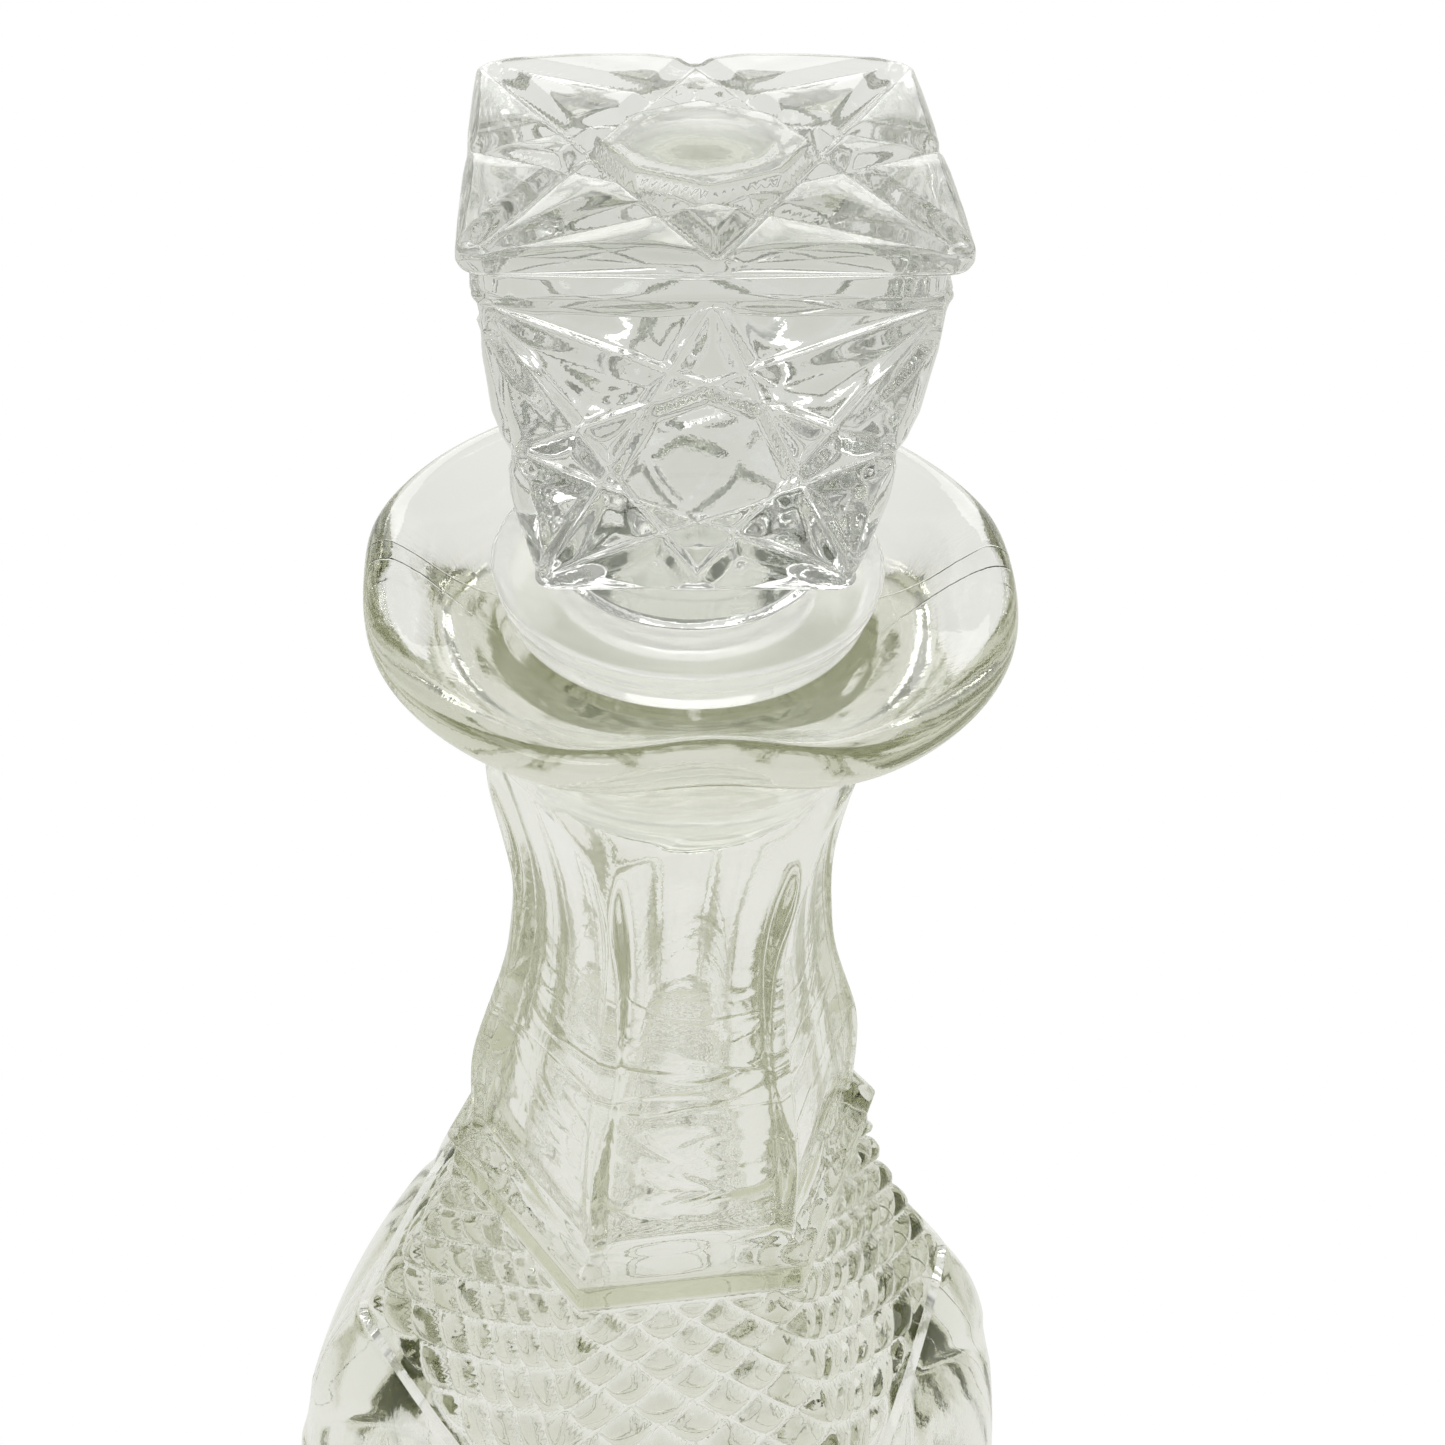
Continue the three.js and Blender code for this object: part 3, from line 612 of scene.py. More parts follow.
class Effects:
    """Shader groups shared by the materials."""

    def __init__(self) -> None:
        """Builds each group once."""
        self.pressed = self._pressed()
        self.chill = self._chill()
        self.seam = self._seam()

    @staticmethod
    def _pressed() -> bpy.types.NodeTree:
        """Orange-peel surface that a mould leaves, in three sizes."""
        tree, given, out = new_group(
            "pressed_skin",
            "ShaderNodeTree",
            [Port("Vector", "Vector"), Port("Ripple", value=60.0), Port("Pebble", value=420.0),
             Port("Grit", value=2200.0), Port("Pebble Share", value=0.4), Port("Grit Share", value=0.1)],
            [Port("Height"), Port("Patches")],
        )
        ripple, pebble, grit = (
            tree.add("ShaderNodeTexNoise", {"Vector": given["Vector"], "Scale": given[name], "Detail": 2.0})
            for name in ("Ripple", "Pebble", "Grit")
        )
        fine = tree.math("MULTIPLY", grit.outputs[0], given["Grit Share"])
        mid = tree.math("MULTIPLY_ADD", pebble.outputs[0], given["Pebble Share"], fine)
        tree.feed(out["Height"], tree.math("ADD", ripple.outputs[0], mid))
        tree.feed(out["Patches"], tree.ramp(ripple.outputs[0], 0.4, 0.7))
        return tree.tree

    @staticmethod
    def _chill() -> bpy.types.NodeTree:
        """Level creases left where the glass met a colder mould, between two heights."""
        tree, given, out = new_group(
            "chill_marks",
            "ShaderNodeTree",
            [Port("Vector", "Vector"), Port("From"), Port("To"), Port("Stretch", value=3.4)],
            [Port("Height")],
        )
        apart = tree.add("ShaderNodeSeparateXYZ", {0: given["Vector"]}).outputs
        level = tree.math("MULTIPLY", apart[2], given["Stretch"])
        joined = tree.add("ShaderNodeCombineXYZ", {0: apart[0], 1: apart[1], 2: level})
        waves = tree.add(
            "ShaderNodeTexNoise",
            {"Vector": joined.outputs[0], "Scale": 19.0, "Detail": 2.0, "Roughness": 0.5,
             "Distortion": 0.6},
        )
        creases = tree.math("ABSOLUTE", tree.math("SUBTRACT", waves.outputs[0], 0.5))
        sharp = tree.ramp(creases, 0.0, 0.045)
        low = tree.ramp(apart[2], given["From"], tree.math("ADD", given["From"], 0.004))
        high = tree.ramp(apart[2], given["To"], tree.math("SUBTRACT", given["To"], 0.025))
        mask = tree.math("MULTIPLY", low, high)
        both = tree.math("MULTIPLY_ADD", waves.outputs[0], 2.0, tree.math("MULTIPLY", sharp, 0.35))
        tree.feed(out["Height"], tree.math("MULTIPLY", both, mask))
        return tree.tree

    @staticmethod
    def _seam() -> bpy.types.NodeTree:
        """The fine raised line where the halves of a mould met, on both sides of the axis."""
        tree, given, out = new_group(
            "mould_seam",
            "ShaderNodeTree",
            [Port("Vector", "Vector"), Port("Turn"), Port("Half Width", value=0.0002)],
            [Port("Height")],
        )
        turned = tree.add(
            "ShaderNodeVectorRotate",
            {"Vector": given["Vector"], "Angle": given["Turn"]},
            rotation_type="Z_AXIS",
        )
        apart = tree.add("ShaderNodeSeparateXYZ", {0: turned.outputs[0]}).outputs
        broken = tree.add("ShaderNodeTexNoise", {"Vector": given["Vector"], "Scale": 500.0})
        wander = tree.math("MULTIPLY_ADD", broken.outputs[0], 0.0004, -0.0002)
        off = tree.math("ABSOLUTE", tree.math("ADD", apart[1], wander))
        line = tree.ramp(off, given["Half Width"], 0.0)
        tree.feed(out["Height"], tree.math("MULTIPLY", line, broken.outputs[0]))
        return tree.tree


# ---------------------------------------------------------------- finishes


@dataclass(frozen=True)
class GlassFinish:
    """Clear pressed glass with a faint tint that deepens in thick parts, and painted shade darkening the
    pads of its pattern.
    """

    name: str
    index: float = 1.505
    roughness: float = 0.012
    tint: tuple[float, float, float] = (0.65, 0.665, 0.5)
    depth_of_tint: float = 15.0
    ripple: float = 60.0
    pebble: float = 420.0
    pebble_share: float = 0.25
    grit_share: float = 0.05
    bump: float = 0.00012
    chill_from: float = 0.0
    chill_to: float = 0.0
    chill_bump: float = 0.0
    seam_turn: float = 0.0
    seam_bump: float = 0.0
    # painted shade: the colour that darkens the base colour on the pads of the pattern and on the ledge
    # band
    pad_shade_tone: tuple[float, float, float] = (0.72, 0.73, 0.62)

    def make(self, effects: Effects) -> bpy.types.Material:
        """Builds the material.

        Args:
            effects: the shared shader groups.

        Returns:
            The material.
        """
        material, tree = new_material(self.name)
        place = tree.add("ShaderNodeTexCoord").outputs["Object"]
        skin = tree.add(
            "ShaderNodeGroup",
            {"Vector": place, "Ripple": self.ripple, "Pebble": self.pebble,
             "Pebble Share": self.pebble_share, "Grit Share": self.grit_share},
            node_tree=effects.pressed,
        )
        layers = [(skin, self.bump)]
        if self.chill_bump:
            band = {"Vector": place, "From": self.chill_from, "To": self.chill_to}
            marks = tree.add("ShaderNodeGroup", band, node_tree=effects.chill)
            layers.append((marks, self.chill_bump))
        if self.seam_bump:
            where = {"Vector": place, "Turn": self.seam_turn}
            seam = tree.add("ShaderNodeGroup", where, node_tree=effects.seam)
            layers.append((seam, self.seam_bump))
        normal = None
        for group, distance in layers:
            height = group.outputs["Height"]
            feeds = {"Height": height, "Distance": distance, "Normal": normal}
            normal = tree.add("ShaderNodeBump", feeds).outputs[0]
        haze = tree.math("MULTIPLY_ADD", skin.outputs["Patches"], self.roughness, self.roughness * 0.5)
        # painted shade: the pad value darkens the base colour towards the pad colour, unclamped so the
        # ledge band goes darker still
        pad = tree.add("ShaderNodeAttribute", attribute_name="pad").outputs["Fac"]
        tone = tree.add(
            "ShaderNodeMix",
            {0: pad, 6: (1.0, 1.0, 1.0, 1.0), 7: (*self.pad_shade_tone, 1.0)},
            data_type="RGBA",
            clamp_factor=False,
        )
        glass = tree.add(
            "ShaderNodeBsdfPrincipled",
            {"Base Color": tone.outputs[2], "IOR": self.index, "Transmission Weight": 1.0,
             "Roughness": haze, "Normal": normal},
        )
        body = tree.add(
            "ShaderNodeVolumeAbsorption",
            {"Color": (*self.tint, 1.0), "Density": self.depth_of_tint},
        )
        tree.add(
            "ShaderNodeOutputMaterial",
            {"Surface": glass.outputs[0], "Volume": body.outputs[0]},
        )
        return material


@dataclass(frozen=True)
class SealFinish:
    """Soft clear plastic, slightly milky, with fine scuffs."""

    name: str
    index: float = 1.48
    roughness: float = 0.14
    transmission: float = 0.72
    colour: tuple[float, float, float] = (0.985, 0.985, 0.97)
    patch_colour: tuple[float, float, float] = (0.96, 0.965, 0.94)
    ripple: float = 90.0
    grit_share: float = 0.05
    bump: float = 0.00008
    scuff: float = 0.1

    def make(self, effects: Effects) -> bpy.types.Material:
        """Builds the material.

        Args:
            effects: the shared shader groups.

        Returns:
            The material.
        """
        material, tree = new_material(self.name)
        place = tree.add("ShaderNodeTexCoord").outputs["Object"]
        feeds = {"Vector": place, "Ripple": self.ripple, "Grit Share": self.grit_share}
        skin = tree.add("ShaderNodeGroup", feeds, node_tree=effects.pressed)
        bump = tree.add("ShaderNodeBump", {"Height": skin.outputs["Height"], "Distance": self.bump})
        scuffs = tree.math("MULTIPLY_ADD", skin.outputs["Patches"], self.scuff, self.roughness)
        tone = tree.add(
            "ShaderNodeMix",
            {0: skin.outputs["Patches"], 6: (*self.colour, 1.0), 7: (*self.patch_colour, 1.0)},
            data_type="RGBA",
        )
        plastic = tree.add(
            "ShaderNodeBsdfPrincipled",
            {"Base Color": tone.outputs[2], "IOR": self.index, "Transmission Weight": self.transmission,
             "Roughness": scuffs, "Normal": bump.outputs[0]},
        )
        tree.add("ShaderNodeOutputMaterial", {"Surface": plastic.outputs[0]})
        return material


# ---------------------------------------------------------------- bottle


@dataclass
class Ring:
    """One loop of the bottle's surface round its axis."""

    height: float
    radius: np.ndarray | float
    step: float = 0.0
    edge: float = 0.0
    lattice: float = 0.0
    garland: float = 0.0
    wave: float = 0.0
    crowding: float = 0.0
    # painted shade: how much this ring's base colour is darkened
    shade: float = 0.0


@dataclass
class Bottle:
    """The six-sided bottle with its neck panels, waved lip and hollow inside."""

    finish: GlassFinish
    columns_per_cell: int = 12
    cells_per_side: int = 4
    foot_radius: float = 0.042
    foot_ring: float = 0.005
    foot_push_up: float = 0.0025
    push_up_rounding: float = 0.0015
    foot_rounding: float = 0.003
    foot_spread: float = 0.001
    belly_radius: float = 0.0705
    belly_height: float = 0.084
    shoulder_radius: float = 0.0365
    lattice_top: float = 0.1654
    lattice_half_row: float = 0.0039
    lattice_half_rows: int = 10
    lattice_depth: float = 0.0021
    lattice_groove: float = 0.3
    lattice_crown: float = 0.5
    garland_drop: float = 0.0023
    garland_steps: float = 10.0
    garland_curve: float = 0.00087
    garland_depth: float = 0.0021
    garland_groove: float = 0.9
    garland_crown: float = 0.6
    # painted shade on the garland pads, as a share of their height
    garland_shade: float = 0.15
    ledge_flat: float = 0.0309
    ledge_height: float = 0.1736
    # painted shade on the band below the ledge
    ledge_shade: float = 1.7
    panel_bottom: float = 0.1767
    panel_flat: float = 0.0273
    waist_height: float = 0.2326
    waist_flat: float = 0.0208
    arch_top: float = 0.261
    neck_radius: float = 0.0268
    neck_swell: float = 0.0018
    arch_swell: float = 0.0008
    crease_start: float = 0.99
    crease_softness: float = 0.985
    crease_reach: float = 1.012
    rib_height: float = 0.0002
    rib_width: float = 0.0009
    panel_hollow: float = 0.0008
    lip_crest: float = 0.2858
    lip_radius: float = 0.042
    lip_tube: float = 0.0028
    lip_turn: float = math.radians(-5.0)
    lip_dip: float = math.radians(17.0)
    lip_rise: float = 0.0024
    lip_pinch: float = 0.0015
    seat_drop: float = 0.0061
    seat_radius: float = 0.0242
    flare_out: float = 0.0015
    flare_hang: float = 0.0067
    dish_sag: float = 0.0026
    bore_radius: float = 0.0162
    waist_bore: float = 0.015
    wall: float = 0.0063
    belly_extra_wall: float = 0.004
    base: float = 0.012
    heel_rise: float = 0.013
    heel_spread: float = 0.004
    heel_pull: float = 0.006
    rings: list[Ring] = field(default_factory=list)

    def columns(self, crowding: float) -> tuple[np.ndarray, np.ndarray]:
        """Directions of the columns, from -Y towards +X, and their places across the flats.

        Args:
            crowding: 0 spaces them evenly across each flat, 1 draws them to the corners.

        Returns:
            (angles, places), a place being 0 in the middle of a flat and 1 at its corners.
        """
        half = self.columns_per_cell * self.cells_per_side // 2
        column = np.arange(6 * 2 * half)
        side = np.round(column / (2 * half))
        even = (column - side * 2 * half) / half
        drawn = np.sign(even) * (1.0 - (1.0 - np.abs(even)) ** 1.6)
        across = lerp(even, drawn, crowding)
        return side * math.pi / 3 + np.arctan(across * math.tan(math.pi / 6)), np.abs(across)

    @property
    def corner(self) -> float:
        """Radius of a hexagon's corner over that of its flat."""
        return 1.0 / math.cos(math.pi / 6)

    @property
    def lattice_bottom(self) -> float:
        """Height of the lower edge of the lattice."""
        return self.lattice_top - self.lattice_half_row * self.lattice_half_rows

    def up_lattice(self, share: float) -> float:
        """A height part of the way up the lattice."""
        return lerp(self.lattice_bottom, self.lattice_top, share)

    def up_panel(self, share: float) -> float:
        """A height part of the way up the neck's panels, below the waist."""
        return lerp(self.panel_bottom, self.waist_height, share)

    def up_arch(self, share: float) -> float:
        """A height part of the way up the arches of the panels, above the waist."""
        return lerp(self.waist_height, self.arch_top, share)

    def body_corner(self, height: float) -> float:
        """Radius of the body at its corners.

        Args:
            height: where, in metres above the foot.

        Returns:
            The radius.
        """
        low, high = self.shoulder_radius, self.belly_radius
        bottom = self.lattice_bottom
        foot, belly = self.foot_radius, self.belly_height
        pairs = [
            (self.foot_rounding, foot + self.foot_spread),
            (belly * 0.25, lerp(foot, high, 0.43)),
            (belly * 0.56, lerp(foot, high, 0.83)),
            (belly, high),
            (lerp(belly, bottom, 0.6), lerp(low, high, 0.8)),
            (bottom, lerp(low, high, 0.5)),
            (self.up_lattice(0.48), lerp(low, high, 0.21)),
            (self.up_lattice(0.74), lerp(low, high, 0.08)),
            (self.lattice_top, low),
        ]
        return float(smooth_through(pairs, height))

    def body(self, height: float) -> np.ndarray:
        """Radius of the body before its pattern is pressed in.

        Args:
            height: where, in metres above the foot.

        Returns:
            One radius for each column.
        """
        flatness = 0.9 * smoothstep(height, 0.02, 0.14)
        sharpness = lerp(30.0, 110.0, smoothstep(height, 0.1, 0.165))
        shape = hexagon(self.columns(0.0)[0], sharpness) / self.corner
        return self.body_corner(height) * lerp(1.0, shape, flatness)

    def inner(self, height: float) -> float:
        """Radius of the hollow inside the body at a height."""
        flatness = 0.9 * float(smoothstep(height, 0.02, 0.14))
        return self.body_corner(height) * lerp(1.0, 1.0 / self.corner, flatness) - self.wall

    def neck(self, height: float) -> np.ndarray:
        """Radius of the round neck with its six flat, arch-topped panels.

        Args:
            height: where, in metres above the foot.

        Returns:
            One radius for each column.
        """
        waist, flat, top = self.waist_flat, self.panel_flat, self.neck_radius
        panel = smooth_through(
            [
                (self.panel_bottom, flat),
                (self.up_panel(0.27), lerp(waist, flat, 0.92)),
                (self.up_panel(0.52), lerp(waist, flat, 0.58)),
                (self.up_panel(0.76), lerp(waist, flat, 0.18)),
                (self.waist_height, waist),
                (self.up_arch(0.3), waist + self.arch_swell),
                (self.up_arch(0.61), lerp(waist, top, 0.45)),
                (self.arch_top, top),
            ],
            height,
        )
        round_neck = smooth_through(
            [
                (self.up_panel(0.76), waist * self.corner * self.crease_start),
                (self.waist_height, waist * self.corner * self.crease_softness),
                (self.up_arch(0.3), top - self.neck_swell),
                (self.up_arch(0.61), top - self.neck_swell / 4),
                (self.arch_top, top),
            ],
            height,
        )
        proud = 1.0 - smoothstep(height, self.up_panel(0.25), self.up_panel(1.0))
        round_neck = lerp(round_neck, panel * self.corner * self.crease_reach, proud)
        angles, across = self.columns(1.0)
        off = (1.0 - across) * panel * math.tan(math.pi / 6)
        rib = self.rib_height * np.exp(-((off / self.rib_width) ** 2))
        hollow = self.panel_hollow * smoothstep(off, self.rib_width, self.rib_width * 3.0)
        flats = panel * hexagon(angles, 400.0) + rib - hollow
        return softer_min(flats, np.full_like(angles, round_neck), 160.0)

    def foot(self) -> None:
        """Adds the foot: a shallow push-up, a flat ring and a rounded edge."""
        inner = self.foot_radius - 2 * self.foot_ring
        for share in np.linspace(0.12, 1.0, 5):
            self.rings.append(Ring(self.foot_push_up, inner * share))
        ring = bend(
            (inner, self.foot_push_up),
            (inner + self.push_up_rounding, 0.0),
            (self.foot_radius - self.foot_ring, 0.0),
            4,
        )
        soft = self.foot_rounding
        ring += arc((self.foot_radius, soft), soft * 0.9999, -90.0, -20.0, 5)
        for radius, height in ring[1:]:
            self.rings.append(Ring(max(height, 0.0), min(radius, self.foot_radius + self.foot_spread)))

    def pattern(self) -> None:
        """Adds the body with the places of its garlands and its lattice."""
        bottom = self.lattice_bottom
        top = bottom - self.garland_drop
        lowest = top - self.garland_curve * self.garland_steps**2
        for height in np.linspace(self.foot_rounding, lowest, 24)[1:-1]:
            self.rings.append(Ring(height, self.body(height)))
        for height in np.linspace(lowest, top, 80):
            step = math.sqrt(max(top - height, 0.0) / self.garland_curve)
            edge = min(step, (self.garland_steps - step) * 2)
            self.rings.append(Ring(height, self.body(height), step, edge, garland=1.0))
        self.rings.append(Ring(lerp(top, bottom, 0.25), self.body(top)))
        self.rings.append(Ring(lerp(top, bottom, 0.75), self.body(bottom)))
        rows = self.lattice_half_rows * self.columns_per_cell // 2
        for row in range(rows + 1):
            step = self.lattice_half_rows - row / (self.columns_per_cell // 2)
            height = self.lattice_top - step * self.lattice_half_row
            edge = min(step, self.lattice_half_rows - step)
            self.rings.append(Ring(height, self.body(height), step, edge, lattice=1.0))

    def ledge(self) -> None:
        """Adds the smooth band, darkened by painted shade, and the ledge that the neck stands on."""
        outline = [
            (self.lattice_top + 0.0007, self.ledge_flat - 0.0002),
            (self.lattice_top + 0.0022, self.ledge_flat - 0.0004),
            (self.ledge_height - 0.0034, self.ledge_flat - 0.0009),
            (self.ledge_height - 0.0024, self.ledge_flat - 0.0009),
            (self.ledge_height - 0.0014, self.ledge_flat - 0.0001),
            (self.ledge_height, self.ledge_flat + 0.0002),
            (self.ledge_height + 0.0009, self.ledge_flat - 0.0005),
            (self.ledge_height + 0.0017, self.ledge_flat - 0.0018),
            (self.panel_bottom, self.panel_flat + 0.0003),
        ]
        for share in np.linspace(0.0, 1.0, 18):
            height = lerp(outline[0][0], outline[-1][0] - 0.0002, share)
            shape = hexagon(self.columns(share)[0], 160.0)
            radius = float(smooth_through(outline, height)) * shape
            # painted shade: the band below the ledge is darkened through the glass's pad colour
            band = smoothstep(share, 0.0, 0.1) * (1.0 - smoothstep(share, 0.5, 0.95))
            shade = self.ledge_shade * float(band)
            self.rings.append(Ring(height, radius, crowding=share, shade=shade))

    def throat(self) -> None:
        """Adds the neck and the waved lip, down to the seat of the seal."""
        for height in np.linspace(self.panel_bottom, self.arch_top, 62):
            self.rings.append(Ring(height, self.neck(height), crowding=1.0))
        centre = (self.lip_radius - self.lip_tube, self.lip_crest - self.lip_tube)
        rim = arc(centre, self.lip_tube, -60.0, 110.0, 16)
        seat = self.lip_crest - self.seat_drop
        under = bend(
            (self.neck_radius, self.arch_top),
            (self.neck_radius + self.flare_out, centre[1] - self.lip_tube - self.flare_hang),
            rim[0],
            14,
        )
        dish = bend(
            rim[-1],
            (lerp(self.seat_radius, centre[0], 0.45), seat + self.dish_sag),
            (self.seat_radius, seat),
            12,
        )
        wave_from = max(self.seat_radius + 0.001, self.neck_radius)
        outline = under[1:-1] + rim + dish[1:]
        outline.append((self.bore_radius + 0.001, seat))
        for radius, height in outline:
            wave = float(smoothstep(radius, wave_from, centre[0]))
            self.rings.append(Ring(height, radius, wave=wave, crowding=1.0))

    def hollow(self) -> None:
        """Adds the bore and the hollow inside, down to the middle of its floor."""
        seat = self.lip_crest - self.seat_drop
        floor = self.base + self.heel_rise
        belly, neck = self.belly_height, self.panel_flat - self.wall
        pairs = [(floor, self.foot_radius + self.heel_spread)]
        pairs.append((belly * 0.56, self.body_corner(belly * 0.56) - self.wall))
        pairs.append((belly, self.belly_radius - self.belly_extra_wall - self.wall))
        for share in (0.0, 0.48, 1.0):
            pairs.append((self.up_lattice(share), self.inner(self.up_lattice(share))))
        pairs += [
            (self.panel_bottom, neck),
            (self.up_panel(0.27), lerp(self.waist_bore, neck, 0.5)),
            (self.up_panel(0.52), lerp(self.waist_bore, neck, 0.13)),
            (self.waist_height, self.waist_bore),
            (seat - 0.030, self.bore_radius),
            (seat - 0.012, self.bore_radius),
            (seat - 0.001, self.bore_radius),
        ]
        for height in np.linspace(seat - 0.001, floor, 72):
            self.rings.append(Ring(height, float(smooth_through(pairs, height))))
        start = float(smooth_through(pairs, floor))
        heel = bend((start, floor), (start - self.heel_pull, self.base), (start * 0.5, self.base), 9)
        for radius, height in heel[1:]:
            self.rings.append(Ring(height, radius))
        for share in (0.6, 0.2):
            self.rings.append(Ring(self.base, start * 0.5 * share))

    def build(self, effects: Effects) -> bpy.types.Object:
        """Builds and dresses the bottle.

        Args:
            effects: the shared shader groups.

        Returns:
            The finished object.
        """
        for part in (self.foot, self.pattern, self.ledge, self.throat):
            part()
        outer_count = len(self.rings)
        self.hollow()
        skin = Skin()
        across = np.arange(len(self.columns(0.0)[0])) / (self.columns_per_cell / 2)
        skin.place(np.array([[0.0, 0.0, self.foot_push_up]]))
        before = None
        for number, ring in enumerate(self.rings):
            thin = 1 if number < outer_count else 2
            angle = self.columns(ring.crowding)[0][::thin]
            away = angle - self.lip_turn
            away = away - (math.pi / 2) * np.round(away / (math.pi / 2))
            wave = ring.wave * np.exp(-((away / self.lip_dip) ** 2))
            radius = ring.radius - wave * self.lip_pinch
            around = np.stack([np.sin(angle), -np.cos(angle), np.zeros_like(angle)], 1)
            points = around * np.broadcast_to(radius, angle.shape)[:, None]
            points[:, 2] = ring.height + wave * self.lip_rise
            loop = skin.place(
                points, across=across[::thin], step=ring.step, edge=ring.edge,
                lattice=ring.lattice, garland=ring.garland, shade=ring.shade, inward=-around,
            )
            if before is None:
                skin.close(loop, 0, rising=False)
            else:
                skin.join(before, loop)
            before = loop
        pole = skin.place(np.array([[0.0, 0.0, self.base]]))
        skin.close(before, int(pole[0]), rising=True)
        piece = skin.piece("bottle_pressed")
        return pressed_by(
            piece,
            Reliefs.bottle(),
            {
                "Lattice Depth": self.lattice_depth,
                "Lattice Groove": self.lattice_groove,
                "Lattice Crown": self.lattice_crown,
                "Garland Depth": self.garland_depth,
                "Garland Groove": self.garland_groove,
                "Garland Crown": self.garland_crown,
                "Garland Shade": self.garland_shade,
                "Finish": self.finish.make(effects),
            },
        )


# ---------------------------------------------------------------- seal


@dataclass
class Seal:
    """The soft seal: a flange in the lip's dish and a finned sleeve in the bore."""

    finish: SealFinish
    low: float
    high: float
    flange_top: float = 0.0247
    flange_bottom: float = 0.023
    flange_thickness: float = 0.0066
    rounding: float = 0.0007
    sleeve_radius: float = 0.0151
    sleeve_bore: float = 0.0133
    fin_count: int = 4
    fin_reach: float = 0.0008
    dish: float = 0.00035
    bead: float = 0.00022
    bead_width: float = 0.00028
    columns: int = 160

    def outline(self) -> list[tuple[float, float, float, float]]:
        """Walks once round the seal's section.

        Returns:
            Rows of (radius, height, share down the sleeve, 1 on the finned wall).
        """
        under = self.high - self.flange_thickness
        soft = self.rounding
        rows = [(self.sleeve_bore, z, 0.0, 0.0) for z in np.linspace(self.high - soft, self.low + soft, 14)]
        rows += [(r, z, 0.0, 0.0) for r, z in (
            (self.sleeve_bore + soft * 0.4, self.low),
            (self.sleeve_radius - soft * 0.4, self.low),
        )]
        for share in np.linspace(0.02, 0.98, 49):
            rows.append((self.sleeve_radius, lerp(self.low, under, share), share, 1.0))
        rows += [(r, z, 0.0, 0.0) for r, z in (
            (self.sleeve_radius + 0.0004, under),
            *[(r, under) for r in np.linspace(self.sleeve_radius + 0.002, self.flange_bottom - soft, 5)],
            *arc((self.flange_bottom - soft, under + soft), soft, -80.0, -10.0, 4),
        )]
        parting = lerp(under, self.high, 0.62)
        for height in np.linspace(under + soft * 1.4, self.high - soft, 18):
            share = (height - under) / (self.high - under)
            bead = self.bead * math.exp(-(((height - parting) / self.bead_width) ** 2))
            rows.append((lerp(self.flange_bottom, self.flange_top, share) + bead, height, 0.0, 0.0))
        rows += [(r, z, 0.0, 0.0) for r, z in arc(
            (self.flange_top - soft, self.high - soft), soft, 15.0, 90.0, 5
        )]
        middle = (self.flange_top + self.sleeve_bore) / 2
        half = (self.flange_top - self.sleeve_bore) / 2
        for radius in np.linspace(self.flange_top - 2 * soft, self.sleeve_bore + soft, 8):
            sag = self.dish * (1.0 - ((radius - middle) / half) ** 2)
            rows.append((radius, self.high - sag, 0.0, 0.0))
        return rows

    def build(self, effects: Effects) -> bpy.types.Object:
        """Builds and dresses the seal.

        Args:
            effects: the shared shader groups.

        Returns:
            The finished object.
        """
        skin = Skin()
        angle = np.arange(self.columns) * 2 * math.pi / self.columns
        around = np.stack([np.sin(angle), -np.cos(angle), np.zeros_like(angle)], 1)
        loops = []
        for radius, height, share, finned in self.outline():
            points = around * radius
            points[:, 2] = height
            loops.append(skin.place(points, step=share, across=finned, inward=-around))
        for lower, upper in zip(loops, loops[1:] + loops[:1]):
            skin.join(lower, upper)
        return pressed_by(
            skin.piece("seal_soft"),
            Reliefs.seal(),
            {"Fins": float(self.fin_count), "Reach": self.fin_reach,
             "Finish": self.finish.make(effects)},
        )


# ---------------------------------------------------------------- stopper


